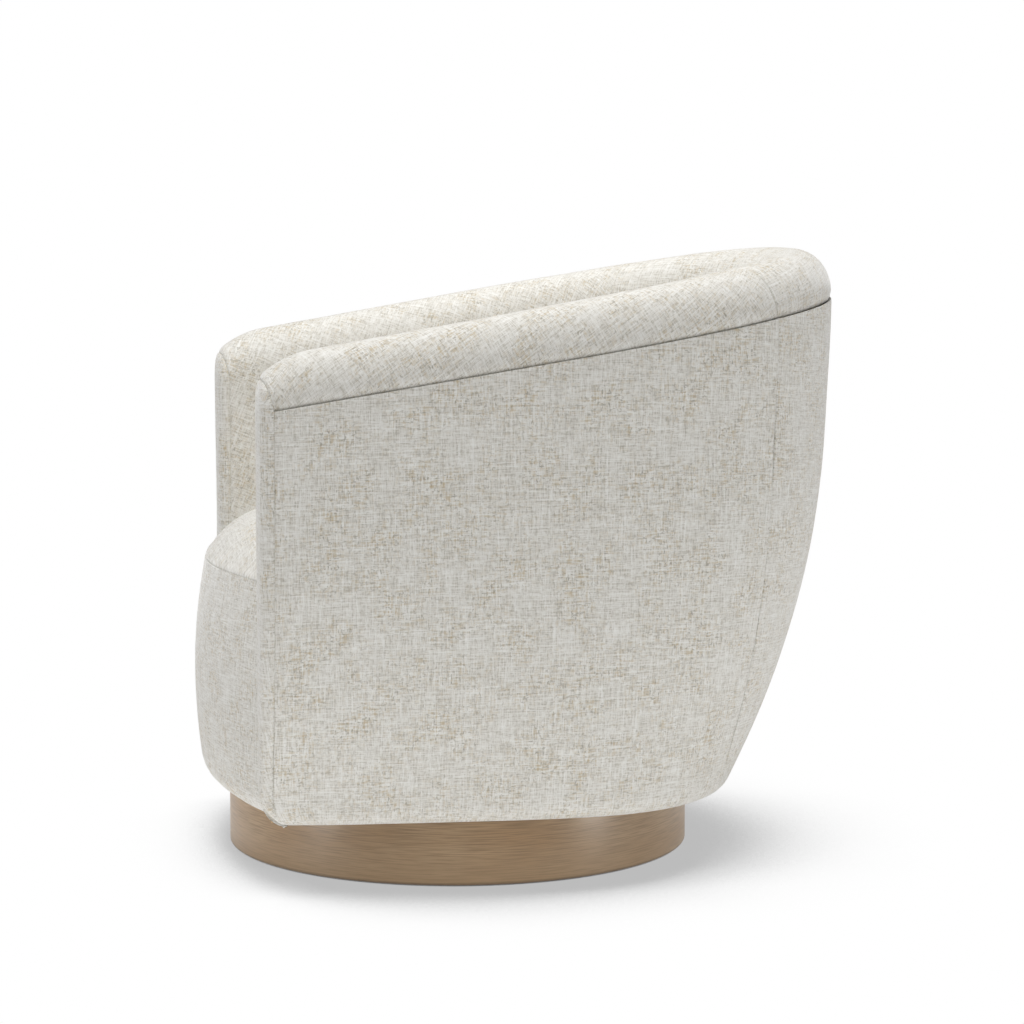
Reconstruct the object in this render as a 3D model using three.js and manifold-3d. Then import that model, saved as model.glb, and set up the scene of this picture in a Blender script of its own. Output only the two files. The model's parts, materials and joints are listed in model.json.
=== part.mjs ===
// A swivel barrel chair: a tight upholstered seat inside a curved wall that makes both arms and
// the back, turning on a ball-race swivel over a round wooden plinth.
// Millimetres, +Z up. The sitter faces -Y, and their left hand is on the +X side.
// Everything is laid out round the swivel axis, at X = 0 and Y = 0 with the floor at Z = 0.
// The last step moves the whole chair, so that the origin is the middle of its footprint.

import * as THREE from "three";
import { mergeVertices } from "three/addons/utils/BufferGeometryUtils.js";
import Module from "manifold-3d";

const wasm = await Module();
wasm.setup();

// Clearances
const fit = 0.3; // between pieces that rest on, in or against each other
const runningGap = 0.5; // round the swivel's rivet, where plate and rivet turn past each other
const postRelief = 2; // between a straight post and the cover that curves past it

// Round plinth
const plinthRadius = 285;
const plinthTop = 78; // height of the ring's upper edge over the floor
const plinthWall = 25;
const plinthFootRound = 5;
const plinthTopRound = 2;
const glideRadius = 9;
const glideThickness = 1.2;
const topBoardThickness = 16;
const topBoardRecess = 1.5; // from the ring's upper edge down to the board
const blockWidth = 60;
const blockDepth = 24;
const blockHeight = 36;

// Swivel
const swivelPlateSize = 300;
const swivelPlateThickness = 2.5;
const swivelPlateCorner = 18;
const swivelHoleInset = 27; // from a plate's edges in to the middle of a corner hole
const raceRadius = 112; // of the circle that the ball centres lie on
const ballDiameter = 6;
const cageThickness = 2;
const cageWidth = 14;
const rivetRadius = 22;
const rivetWall = 3;
const rivetFlange = 8; // how far a flange reaches past the tube
const rivetFlangeThickness = 1.6;
const fastenerRadius = 3;
const fastenerHeadRadius = 6.5;
const fastenerHeadHeight = 2.4;
const screwLength = 13;
const boltLength = 16;

// Barrel wall, seen from above
const wallSpan = 349; // from the middle of the chair to the middle of an arm
const wallThickness = 91;
const curveStartY = 55; // where the straight arms start to bend
const backReach = 353; // from there back to the middle of the back wall
const armFrontY = -260; // the seam where an arm's side meets its front facing
const planPower = 2.26; // 2 is an ellipse, more is squarer

// Barrel wall, seen from the side
const crownHeight = 664; // top of the wall beside the swivel axis
const seamHeight = 603; // seam between the top and the outside, beside the swivel axis
const crownSlope = 0.176;
const seamSlope = 0.163;
const seamOverhang = 3; // how far the padded top stands out over the outside panel
const sideFlare = 49; // how far the outside draws in from the seam to the bottom, at an arm
const backFlare = 137; // the same at the middle of the back
const frontFlare = 20; // how much further it draws in at the front of an arm
const flarePower = 2.78;
const bottomRoll = 28;
const bottomTuck = 18; // how far the covers turn in under the bottom board
const backBelly = 62; // how much thicker the inside back is at the seat than at the top
const capEndRun = 45; // length of the rounded front end of an arm's top
const capEndRadius = 95;
const facingDepth = 15;
const facingRound = 14; // how far a facing's rounded edge reaches in from the arm's side
const facingCrownRound = 26; // and from the top of the arm
const facingFootRise = 44; // height over which a facing's foot curves back
const topPad = 30; // foam over the top rail
const sidePad = 12; // foam outside the top rail

// Covers and wooden frame
const coverThickness = 2.5;
const dustCoverThickness = 1;
const bottomBoardThickness = 18;
const postDepth = 42;
const postWidth = 26;
const seatRailHeight = 40;
const seatRailDepth = 25;
const frontRailThickness = 18;

// Seat
const deckHeight = 310; // top of the seat rails
const seatSeamHeight = 356;
const seatRise = 63; // from the front seam to the top of the crown
const frontReach = 311; // from the swivel axis forward to the seam at the middle
const frontBelly = 14.5;
const frontBellyHeight = 213;
const frontBellyRun = 145;
const frontSeamBow = 600; // radius of the seat's front edge, seen from above, at the seam
const frontFootBow = 750; // and at the bottom
const frontPad = 22;
const springWire = 4;
const springSwing = 20; // half the width of a spring's bends
const springArch = 12;
const springSpacing = 100;
const clipLength = 16;
const clipWidth = 10;
const clipHeight = 7;
const springPadThickness = 4;
const tuckGap = 3; // between the spring clips and the lower edge of the inside covers
const foamRelief = 0.9; // between foam and a cover or post that curves past it

// Shapes without a size of their own
const domeEdgePower = 7;
const domeRollPower = 1.3;
const domeShares = [1, 0.99, 0.96, 0.9, 0.8, 0.62, 0.34];
const capPower = 0.9;
const curveShare = 0.63; // part of the way from an arm's front to the middle of the back
const jointShare = 0.343; // where an arm's covers are sewn to the back's
const sidePostShare = 0.68;
const backPostShare = (jointShare * 2) / 3;
const outsideShares = [0, 0.1, 0.28, 0.46, 0.62, 0.77, 0.9, 1];
const leanStepShare = 0.1; // of the bottom roll, over which a wall's lean is taken
const alongStepShare = 0.01; // over which the length of a share of the wall is taken
const insideShares = [0.12, 0.3, 0.5, 0.72, 1];
const facingFootShare = 0.12; // what is left of a facing's depth at its foot
const seatRailJointShare = 0.45;

// Counts
const roundSides = 48;
const smallSides = 8;
const rivetSides = 24;
const glideCount = 4;
const blockCount = 4;
const ballCount = 14;
const springCount = 5;
const springBends = 6;
const springStepsPerBend = 4;
const springSides = 5;
const capEndSteps = 3;
const straightSteps = 2;
const bendSteps = 5;
const backSteps = 12;
const frontSteps = 10;
const capSteps = 10;
const rollSteps = 3;
const facingSteps = 3;
const lipSteps = 2;
const railBendSteps = 3;
const searchSteps = 40;

// Heights of the stack from the floor to the bottom board
const ringBottom = glideThickness + fit;
const topBoardTop = plinthTop - topBoardRecess;
const topBoardBottom = topBoardTop - topBoardThickness;
const lowerPlateBottom = topBoardTop + fit;
const lowerPlateTop = lowerPlateBottom + swivelPlateThickness;
const ballCentre = lowerPlateTop + fit + ballDiameter / 2;
const upperPlateBottom = ballCentre + ballDiameter / 2 + fit;
const upperPlateTop = upperPlateBottom + swivelPlateThickness;
const boardBottom = upperPlateTop + fit;
const boardTop = boardBottom + bottomBoardThickness;
const shellBottom = boardBottom - fit - coverThickness;

// Heights inside the seat
const springBottom = deckHeight + fit;
const springTop = springBottom + springWire + springArch;
const padBottom = springTop + fit;
const padTop = padBottom + springPadThickness;
const tuckHeight = springBottom + clipHeight + tuckGap; // lower edge of the inside covers
const springPadMargin = coverThickness + frontPad + fit * 2;

const wallHalf = wallThickness / 2;
const swivelHoleReach = swivelPlateSize / 2 - swivelHoleInset;
const rivetPlateHole = rivetRadius + runningGap;
const rivetClearance = rivetRadius + rivetFlange + runningGap;

const finishes = {
  fabric: { color: 0xd9d6cd, roughness: 0.95, metalness: 0 },
  foam: { color: 0xe6dcae, roughness: 0.95, metalness: 0 },
  cambric: { color: 0x232323, roughness: 0.95, metalness: 0 },
  plinthWood: { color: 0x93765a, roughness: 0.5, metalness: 0 },
  frameWood: { color: 0xcaa873, roughness: 0.7, metalness: 0 },
  steel: { color: 0x8d9195, roughness: 0.4, metalness: 0.9 },
  zinc: { color: 0xb9bcc0, roughness: 0.35, metalness: 0.9 },
  nylon: { color: 0x2c2c2e, roughness: 0.6, metalness: 0 },
};

const chair = new THREE.Group();
const base = new THREE.Group();
const ballRace = new THREE.Group();
const seatShell = new THREE.Group();
chair.add(base, ballRace, seatShell);

function place(group, name, geometry, finish) {
  const mesh = new THREE.Mesh(geometry, new THREE.MeshStandardMaterial(finishes[finish]));
  mesh.name = name;
  group.add(mesh);
  return mesh;
}

// General shapes

function lerp(from, to, share) {
  return from + (to - from) * share;
}

function signedPower(value, power) {
  return Math.sign(value) * Math.abs(value) ** power;
}

// Closed mesh with its faces turned outwards.
function closedMesh(positions, index) {
  const geometry = new THREE.BufferGeometry();
  geometry.setAttribute("position", new THREE.Float32BufferAttribute(positions, 3));
  const corner = [0, 1, 2].map(() => new THREE.Vector3());
  let volume = 0;
  for (let i = 0; i < index.length; i += 3) {
    corner.forEach((point, k) => point.fromArray(positions, index[i + k] * 3));
    volume += corner[0].dot(corner[1].cross(corner[2]));
  }
  if (volume < 0) index.reverse();
  geometry.setIndex(index);
  return geometry;
}

function toVectors(points) {
  return points.map(([x, y]) => new THREE.Vector2(x, y));
}

// Solid lofted through rings that have the same, even count of points. Each ring runs down one
// side of its section and back up the other, so that its ends close with a strip between the two.
function loftRings(rings) {
  const count = rings[0].length;
  const last = (rings.length - 1) * count;
  const index = [];
  for (let start = 0; start < last; start += count) {
    for (let j = 0; j < count; j++) {
      const a = start + j;
      const b = start + ((j + 1) % count);
      index.push(a, b, b + count, a, b + count, a + count);
    }
  }
  for (let j = 0; j + 1 < count / 2; j++) {
    const [a, b, c, d] = [j, j + 1, count - 2 - j, count - 1 - j];
    index.push(c, b, a, d, c, a);
    index.push(last + a, last + b, last + c, last + a, last + c, last + d);
  }
  return closedMesh(rings.flat(2), index);
}

// Solid lofted along stations, through a section of [out, up] points at each.
function loft(stations, sectionAt) {
  const sections = stations.map(sectionAt);
  const rings = sections.map((section, i) => {
    const { x, y, nx, ny } = stations[i];
    return section.map(([out, up]) => [x + nx * out, y + ny * out, up]);
  });
  return loftRings(rings);
}

// The line of points moved sideways, to the right of its direction.
function offsetLine(points, distance) {
  const last = points.length - 1;
  const normals = points.slice(1).map(([x, y], i) => {
    const size = Math.hypot(x - points[i][0], y - points[i][1]);
    return [(y - points[i][1]) / size, (points[i][0] - x) / size];
  });
  return points.map(([x, y], i) => {
    const [ax, ay] = normals[Math.max(i - 1, 0)];
    const [bx, by] = normals[Math.min(i, last - 1)];
    const stretch = distance / (1 + ax * bx + ay * by);
    return [x + (ax + bx) * stretch, y + (ay + by) * stretch];
  });
}

// Closed section of a sheet whose shown side is the given line, and whose other side is on its right.
function sheetSection(line, thickness) {
  return [...line, ...offsetLine(line, thickness).reverse()];
}

function outline(points) {
  return new THREE.Shape(toVectors(points));
}

function circlePath(x, y, radius, sides) {
  const points = [];
  for (let i = 0; i < sides; i++) {
    const angle = (i / sides) * Math.PI * 2;
    points.push(new THREE.Vector2(x + radius * Math.cos(angle), y + radius * Math.sin(angle)));
  }
  return new THREE.Path(points);
}

// Plate between two heights, cut from an outline.
function plate(shape, bottom, top) {
  const settings = { depth: top - bottom, bevelEnabled: false };
  return new THREE.ExtrudeGeometry(shape, settings).translate(0, 0, bottom);
}

// Round piece from a profile of [radius, height] points.
function turned(profile, sides) {
  return new THREE.LatheGeometry(toVectors(profile), sides).rotateX(Math.PI / 2);
}

// Points of a quarter circle, about a centre, from one angle to another.
function arc(x, y, radius, from, to, steps) {
  const points = [];
  for (let i = 0; i <= steps; i++) {
    const angle = lerp(from, to, i / steps);
    points.push([x + radius * Math.cos(angle), y + radius * Math.sin(angle)]);
  }
  return points;
}

function toSolid(geometry) {
  const bare = geometry.clone();
  bare.deleteAttribute("normal");
  bare.deleteAttribute("uv");
  const merged = mergeVertices(bare);
  return new wasm.Manifold(
    new wasm.Mesh({
      numProp: 3,
      vertProperties: new Float32Array(merged.getAttribute("position").array),
      triVerts: new Uint32Array(merged.getIndex().array),
    }),
  );
}

function fromSolid(solid) {
  const mesh = solid.getMesh();
  const geometry = new THREE.BufferGeometry();
  geometry.setAttribute("position", new THREE.Float32BufferAttribute(mesh.vertProperties, 3));
  geometry.setIndex([...mesh.triVerts]);
  return geometry;
}

// The four corners of a square round the swivel axis.
function corners(reach) {
  return [
    [reach, reach],
    [-reach, reach],
    [-reach, -reach],
    [reach, -reach],
  ];
}

// Round plinth

function plinthRing() {
  const outer = plinthRadius;
  const inner = plinthRadius - plinthWall;
  const quarter = Math.PI / 2;
  const footRound = plinthFootRound;
  const topRound = plinthTopRound;
  const foot = arc(outer - footRound, ringBottom + footRound, footRound, -quarter, 0, rollSteps);
  const lip = arc(outer - topRound, plinthTop - topRound, topRound, 0, quarter, lipSteps);
  const start = [inner, ringBottom];
  return turned([start, ...foot, ...lip, [inner, plinthTop], start], roundSides);
}

// Least distance from the axis to the ring's inner facets.
function plinthInnerReach() {
  return (plinthRadius - plinthWall) * Math.cos(Math.PI / roundSides);
}

function topBoard() {
  const shape = new THREE.Shape(circlePath(0, 0, plinthInnerReach() - fit, roundSides).getPoints());
  shape.holes.push(circlePath(0, 0, rivetClearance, rivetSides));
  for (const [x, y] of corners(swivelHoleReach)) {
    shape.holes.push(circlePath(x, y, fastenerRadius + fit, smallSides));
  }
  return plate(shape, topBoardBottom, topBoardTop);
}

// Glue block under the board, in the corner that it makes with the ring.
function plinthBlock() {
  const outer = Math.sqrt((plinthInnerReach() - fit) ** 2 - (blockWidth / 2) ** 2);
  const block = new THREE.BoxGeometry(blockDepth, blockWidth, blockHeight);
  return block.translate(outer - blockDepth / 2, 0, topBoardBottom - fit - blockHeight / 2);
}

function glide() {
  const pad = new THREE.CylinderGeometry(glideRadius, glideRadius, glideThickness, smallSides * 2);
  pad.rotateX(Math.PI / 2);
  return pad.translate(plinthRadius - plinthWall + glideRadius, 0, glideThickness / 2);
}

function buildPlinth() {
  place(base, "plinth_ring", plinthRing(), "plinthWood");
  place(base, "plinth_top_board", topBoard(), "frameWood");
  for (let i = 0; i < blockCount; i++) {
    const mesh = place(base, `plinth_block_${i + 1}`, plinthBlock(), "frameWood");
    mesh.rotation.z = (i / blockCount) * Math.PI * 2;
  }
  for (let i = 0; i < glideCount; i++) {
    const mesh = place(base, `glide_${i + 1}`, glide(), "nylon");
    mesh.rotation.z = ((i + 0.5) / glideCount) * Math.PI * 2;
  }
}

// Swivel

function swivelPlate(bottom) {
  const half = swivelPlateSize / 2;
  const inner = half - swivelPlateCorner;
  const quarter = Math.PI / 2;
  const points = corners(inner).flatMap(([x, y], i) =>
    arc(x, y, swivelPlateCorner, quarter * i, quarter * (i + 1), rollSteps),
  );
  const shape = outline(points);
  shape.holes.push(circlePath(0, 0, rivetPlateHole, rivetSides));
  for (const [x, y] of corners(swivelHoleReach)) {
    shape.holes.push(circlePath(x, y, fastenerRadius + fit, smallSides));
  }
  return plate(shape, bottom, bottom + swivelPlateThickness);
}

// Hollow rivet that holds the two plates together, with a flange under one and over the other.
function swivelRivet() {
  const bore = rivetRadius - rivetWall;
  const reach = rivetRadius + rivetFlange;
  const low = lowerPlateBottom - fit;
  const high = upperPlateTop + fit;
  const start = [bore, low - rivetFlangeThickness];
  const profile = [
    start,
    [reach, low - rivetFlangeThickness],
    [reach, low],
    [rivetRadius, low],
    [rivetRadius, high],
    [reach, high],
    [reach, high + rivetFlangeThickness],
    [bore, high + rivetFlangeThickness],
    start,
  ];
  return turned(profile, rivetSides);
}

// Ring that keeps the balls apart, together with its balls.
function ballCage() {
  const inner = raceRadius - cageWidth / 2;
  const outer = raceRadius + cageWidth / 2;
  const low = ballCentre - cageThickness / 2;
  const high = ballCentre + cageThickness / 2;
  const section = [
    [inner, low],
    [outer, low],
    [outer, high],
    [inner, high],
    [inner, low],
  ];
  let cage = toSolid(turned(section, roundSides));
  for (let i = 0; i < ballCount; i++) {
    const angle = (i / ballCount) * Math.PI * 2;
    const ball = new THREE.IcosahedronGeometry(ballDiameter / 2);
    ball.translate(raceRadius * Math.cos(angle), raceRadius * Math.sin(angle), ballCentre);
    cage = cage.add(toSolid(ball));
  }
  return fromSolid(cage);
}

// Fastener with its head's bearing face at height 0 and its shank below; the head is above.
function fastener(length) {
  return turned(
    [
      [0, -length],
      [fastenerRadius, -length],
      [fastenerRadius, 0],
      [fastenerHeadRadius, 0],
      [fastenerHeadRadius, fastenerHeadHeight],
      [0, fastenerHeadHeight],
    ],
    smallSides,
  );
}

function buildSwivel() {
  place(base, "swivel_lower_plate", swivelPlate(lowerPlateBottom), "steel");
  place(base, "swivel_centre_rivet", swivelRivet(), "steel");
  place(ballRace, "swivel_ball_cage", ballCage(), "steel");
  place(seatShell, "swivel_upper_plate", swivelPlate(upperPlateBottom), "steel");
  corners(swivelHoleReach).forEach(([x, y], i) => {
    const screw = place(base, `lower_plate_screw_${i + 1}`, fastener(screwLength), "zinc");
    screw.position.set(x, y, lowerPlateTop + fit);
    const bolt = place(seatShell, `upper_plate_bolt_${i + 1}`, fastener(boltLength), "zinc");
    bolt.rotation.x = Math.PI;
    bolt.position.set(x, y, upperPlateBottom - fit);
  });
}

// Barrel wall

// A place on the wall's middle line with the direction out of the chair there. Share 0 is the
// middle of the back, and 1 and -1 are the fronts of the arms. back is 1 at the back and 0 at an arm,
// and front rises to 1 along the straight part of an arm.
function barrelStation(share) {
  const side = share < 0 ? -1 : 1;
  const along = Math.abs(share);
  if (along >= curveShare) {
    const run = (along - curveShare) / (1 - curveShare);
    const y = lerp(curveStartY, armFrontY, run);
    return { x: side * wallSpan, y, nx: side, ny: 0, back: 0, front: run ** 2 };
  }
  const turn = (1 - along / curveShare) * (Math.PI / 2);
  const bend = 2 / planPower;
  const across = Math.cos(turn) ** (2 - bend) / wallSpan;
  const backward = Math.sin(turn) ** (2 - bend) / backReach;
  const size = Math.hypot(across, backward);
  return {
    x: side * wallSpan * Math.cos(turn) ** bend,
    y: curveStartY + backReach * Math.sin(turn) ** bend,
    nx: (side * across) / size,
    ny: backward / size,
    back: (backward / size) ** 2,
    front: 0,
  };
}

// The same place moved along the wall, towards an arm's front where the distance is positive.
function slideStation(station, distance) {
  const side = station.x < 0 ? -1 : 1;
  const x = station.x + side * station.ny * distance;
  const y = station.y - side * station.nx * distance;
  return { ...station, x, y };
}

// A place on the wall a distance from a share of it, towards an arm's front where it is positive.
function stationBeside(share, distance) {
  const here = barrelStation(share);
  const side = share < 0 ? -1 : 1;
  const near = barrelStation(share - side * alongStepShare);
  const length = Math.hypot(here.x - near.x, here.y - near.y) / alongStepShare;
  return barrelStation(share + (side * distance) / length);
}

function barrelStations(from, to, steps) {
  const stations = [];
  for (let i = 0; i <= steps; i++) stations.push(barrelStation(lerp(from, to, i / steps)));
  return stations;
}

// Stations of one arm, from its front to its seam with the back.
function armStations(side) {
  const capEndShare = 1 - ((1 - curveShare) * capEndRun) / (curveStartY - armFrontY);
  const end = barrelStations(side, side * capEndShare, capEndSteps);
  const straight = barrelStations(side * capEndShare, side * curveShare, straightSteps).slice(1);
  const bent = barrelStations(side * curveShare, side * jointShare, bendSteps).slice(1);
  const last = bent.pop();
  return [...end, ...straight, ...bent, slideStation(last, fit / 2)];
}

function backStations() {
  const stations = barrelStations(jointShare, -jointShare, backSteps);
  const first = stations.shift();
  const last = stations.pop();
  return [slideStation(first, -fit / 2), ...stations, slideStation(last, -fit / 2)];
}

function crownAt(station) {
  return crownHeight + crownSlope * station.y;
}

// How far an arm's top rounds down towards its front.
function capEndDrop(station) {
  const run = Math.max(armFrontY + capEndRun - station.y, 0);
  return capEndRadius - Math.sqrt(capEndRadius ** 2 - run ** 2);
}

function seamAt(station) {
  return seamHeight + seamSlope * (station.y + station.ny * wallHalf);
}

// Distance of the outside surface from the wall's middle line, at a height.
function outsideOut(station, up) {
  const seam = seamAt(station);
  const drop = Math.max((seam - up) / (seam - shellBottom), 0);
  const flare = lerp(sideFlare, backFlare, station.back) + frontFlare * station.front;
  return wallHalf - flare * drop ** flarePower;
}

// Heights down a wall from its top edge to the start of its bottom roll.
function wallHeights(top, rollStart) {
  return outsideShares.map((share) => lerp(top, rollStart, share));
}

// Where a line of [out, up] points that runs downwards passes a height.
function lineOut(line, up) {
  const next = Math.max(line.findIndex((point) => point[1] <= up), 1);
  const [[fromOut, fromUp], [toOut, toUp]] = line.slice(next - 1, next + 1);
  return lerp(fromOut, toOut, (up - fromUp) / (toUp - fromUp));
}

// Nothing of an arm reaches further in than its inside face. The back has more room.
function innerLimit(station) {
  return fit - wallHalf - backFlare * station.back;
}

// Where a wall's bottom roll starts, its lean there, and the middle of the roll.
function rollOf(outAt) {
  const sample = shellBottom + bottomRoll;
  const step = bottomRoll * leanStepShare;
  const lean = Math.atan((outAt(sample + step) - outAt(sample)) / step);
  const start = shellBottom + bottomRoll * (1 - Math.sin(lean));
  const middle = outAt(start) - bottomRoll * Math.cos(lean);
  return { lean, start, middle };
}

// The outer face of a covered wall: down from its top edge, round the roll and in under the board.
function wallLine(outAt, top, limit) {
  const { lean, start, middle } = rollOf(outAt);
  const wall = wallHeights(top, start).map((up) => [outAt(up), up]);
  const roll = arc(middle, shellBottom + bottomRoll, bottomRoll, -lean, -Math.PI / 2, rollSteps);
  return [...wall, ...roll.slice(1), [Math.max(middle - bottomTuck, limit), shellBottom]];
}

function outsideLine(station) {
  return wallLine((up) => outsideOut(station, up), seamAt(station) - fit, innerLimit(station));
}

function insideOut(station, up) {
  const capFoot = seamAt(station);
  const seatTop = seatSeamHeight + seatRise;
  const share = THREE.MathUtils.clamp((capFoot - up) / (capFoot - seatTop), 0, 1);
  const swell = share * share * (3 - 2 * share);
  return -wallHalf - backBelly * station.back * swell;
}

// The shown face of the padded top and the inside: from the outer seam over the crown and down.
function insideLine(station, foot) {
  const seam = seamAt(station);
  const rise = crownAt(station) - capEndDrop(station) - seam;
  const line = [];
  for (let i = 0; i <= capSteps; i++) {
    const angle = (i / capSteps) * Math.PI;
    const overhang = seamOverhang * Math.max(Math.cos(angle), 0);
    const out = wallHalf * signedPower(Math.cos(angle), capPower) + overhang;
    line.push([out, seam + rise * signedPower(Math.sin(angle), capPower)]);
  }
  for (const share of insideShares) {
    const up = lerp(seam, foot, share);
    line.push([insideOut(station, up), up]);
  }
  return line.reverse();
}

function outsideCover(stations) {
  return loft(stations, (station) => sheetSection(outsideLine(station), coverThickness));
}

function insideCover(stations) {
  return loft(stations, (station) => {
    return [...insideLine(station, tuckHeight), ...insetInside(station, coverThickness).reverse()];
  });
}

// The inside line moved in by a distance, and ending level with the outer seam.
function insetInside(station, distance) {
  const line = offsetLine(insideLine(station, tuckHeight), distance);
  line[line.length - 1][1] = seamAt(station);
  return line;
}

// Outer and inner edges of the frame's posts, and the edges of the top rail.
function postOuter(station, up) {
  return lineOut(outsideLine(station), up) - coverThickness - postRelief;
}

function postInner(station, up) {
  return Math.max(postOuter(station, up) - postDepth, innerLimit(station));
}

function railTopAt(station) {
  return crownAt(station) - topPad;
}

function topRail(stations) {
  return loft(stations, (station) => {
    const bottom = seamAt(station);
    const top = railTopAt(station);
    const outer = wallHalf - coverThickness - sidePad;
    const inner = postInner(station, bottom);
    return [
      [inner, bottom],
      [outer, bottom],
      [outer, top],
      [inner, top],
    ];
  });
}

// Foam between the frame and the inside cover, turned over the top rail. Its points run the way
// the cover's inner side does, so that both are cut into the same triangles.
function wallFoam(stations) {
  return loft(stations, (station) => {
    const shown = insetInside(station, coverThickness + fit);
    const seam = seamAt(station);
    const behind = insideShares.map((share) => {
      const up = lerp(seam, tuckHeight, share);
      return [postInner(station, up) - foamRelief, up];
    });
    return [...shown, ...railLine(station, fit), ...behind].reverse();
  });
}

// Line round a top rail at a clearance, down to its foot on both sides, with capSteps stretches.
function railLine(station, clearance) {
  const bottom = seamAt(station);
  const top = railTopAt(station) + clearance;
  const outer = wallHalf - coverThickness - sidePad + clearance;
  const inner = postInner(station, bottom) - clearance;
  const sideSteps = Math.floor(capSteps / 3);
  const legs = [
    [outer, top, sideSteps],
    [inner, top, capSteps - sideSteps * 2],
    [inner, bottom, sideSteps],
  ];
  const line = [[outer, bottom]];
  for (const [out, up, steps] of legs) {
    const [fromOut, fromUp] = line[line.length - 1];
    for (let i = 1; i <= steps; i++) {
      line.push([lerp(fromOut, out, i / steps), lerp(fromUp, up, i / steps)]);
    }
  }
  return line;
}

// Upright between the bottom board and the top rail, with its edges cut to the wall's curve.
function post(share, shift) {
  const ends = [postWidth / 2, -postWidth / 2].map((half) => stationBeside(share, shift + half));
  return loft(ends, (station) => {
    const foot = boardTop + fit;
    const { start, middle } = rollOf((up) => outsideOut(station, up));
    const last = Math.max(start, foot + fit);
    const heights = wallHeights(seamAt(station) - fit, last);
    const outer = heights.map((up) => [postOuter(station, up), up]);
    const inner = heights.map((up) => [postInner(station, up), up]).reverse();
    const toe = Math.min(middle, postOuter(station, last));
    return [...outer, [toe, foot], [Math.min(postInner(station, last), toe - fit), foot], ...inner];
  });
}

function seatRail(stations) {
  const bottom = deckHeight - seatRailHeight;
  return loft(stations, (station) => {
    const outer = postInner(station, bottom) - fit;
    const inner = outer - seatRailDepth;
    return [
      [inner, bottom],
      [outer, bottom],
      [outer, deckHeight],
      [inner, deckHeight],
    ];
  });
}

// Padded band that closes an arm's front. Its outline is the arm's section, and rings of that
// outline, each smaller than the one before, round its edge off.
function armFacing(side) {
  const station = barrelStation(side);
  const outside = outsideLine(station).slice(1, -1).reverse();
  const inside = insideLine(station, tuckHeight).reverse();
  const flat = [...outside, ...inside, [-wallHalf, shellBottom]];
  const rounds = flat.map(([, up]) => facingRoundAt(station, up));
  const rings = [];
  for (let i = 0; i <= facingSteps; i++) {
    const angle = (i / facingSteps) * (Math.PI / 2);
    const inset = insetRing(
      flat,
      rounds.map((round) => round * (1 - Math.cos(angle))),
    );
    const bulge = facingDepth * Math.sin(angle);
    rings.push(inset.map(([out, up]) => facingPoint(station, out, up, bulge)));
  }
  return closedRings(ringCentre(rings[0]), rings, ringCentre(rings[facingSteps]));
}

function facingRoundAt(station, up) {
  const seam = seamAt(station);
  const top = crownAt(station) - capEndDrop(station);
  const crown = THREE.MathUtils.clamp((up - seam) / (top - seam), 0, 1);
  return lerp(facingRound, facingCrownRound, crown);
}

function ringCentre(ring) {
  const sum = ring.reduce(([x, y, z], point) => [x + point[0], y + point[1], z + point[2]]);
  return sum.map((value) => value / ring.length);
}

function facingPoint(station, out, up, bulge) {
  const low = Math.max((shellBottom + facingFootRise - up) / facingFootRise, 0);
  const fullness = Math.sqrt(1 - Math.min(low, 1) ** 2);
  const depth = bulge * lerp(facingFootShare, 1, fullness);
  return [station.x + station.nx * out, armFrontY - fit - depth, up];
}

// The closed line of points moved inwards, each by its own distance.
function insetRing(points, distances) {
  const around = [points[points.length - 1], ...points, points[0]];
  const turnedLeft = THREE.ShapeUtils.area(toVectors(points)) > 0;
  const unit = offsetLine(around, turnedLeft ? -1 : 1).slice(1, -1);
  return points.map(([x, y], i) => {
    return [lerp(x, unit[i][0], distances[i]), lerp(y, unit[i][1], distances[i])];
  });
}

function buildWall() {
  const left = armStations(1);
  const right = armStations(-1);
  const back = backStations();
  for (const [name, stations, side] of [
    ["left", left, 1],
    ["right", right, -1],
  ]) {
    place(seatShell, `outside_arm_cover_${name}`, outsideCover(stations), "fabric");
    place(seatShell, `inside_arm_cover_${name}`, insideCover(stations), "fabric");
    place(seatShell, `arm_foam_${name}`, wallFoam(stations), "foam");
    place(seatShell, `arm_rail_${name}`, topRail(stations), "frameWood");
    place(seatShell, `arm_front_facing_${name}`, armFacing(side), "fabric");
    place(seatShell, `front_post_${name}`, post(side, -postWidth / 2 - fit), "frameWood");
    place(seatShell, `side_post_${name}`, post(side * sidePostShare, 0), "frameWood");
    place(seatShell, `back_post_${name}`, post(side * backPostShare, 0), "frameWood");
  }
  place(seatShell, "outside_back_cover", outsideCover(back), "fabric");
  place(seatShell, "inside_back_cover", insideCover(back), "fabric");
  place(seatShell, "back_foam", wallFoam(back), "foam");
  place(seatShell, "back_rail", topRail(back), "frameWood");
}

// Seat

const seatHalfWidth = wallSpan - wallHalf - fit;

// Distance of the seat's front face from the swivel axis, at a place across it and a height.
function frontOut(x, up) {
  const share = (up - shellBottom) / (seatSeamHeight - shellBottom);
  const bow = lerp(frontFootBow, frontSeamBow, share);
  const belly = frontBelly * (1 - ((up - frontBellyHeight) / frontBellyRun) ** 2);
  return frontReach + belly - x ** 2 / (2 * bow);
}

function frontStations() {
  const stations = [];
  for (let i = 0; i <= frontSteps; i++) {
    const x = lerp(-seatHalfWidth, seatHalfWidth, i / frontSteps);
    stations.push({ x, y: 0, nx: 0, ny: -1 });
  }
  return stations;
}

function frontCover() {
  return loft(frontStations(), (station) => {
    const line = wallLine((up) => frontOut(station.x, up), seatSeamHeight - fit, 0);
    return sheetSection(line, coverThickness);
  });
}

// Outer face of the front rail at a height.
function frontRailOut(x, up) {
  return frontOut(x, up) - coverThickness - frontPad - fit;
}

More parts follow.
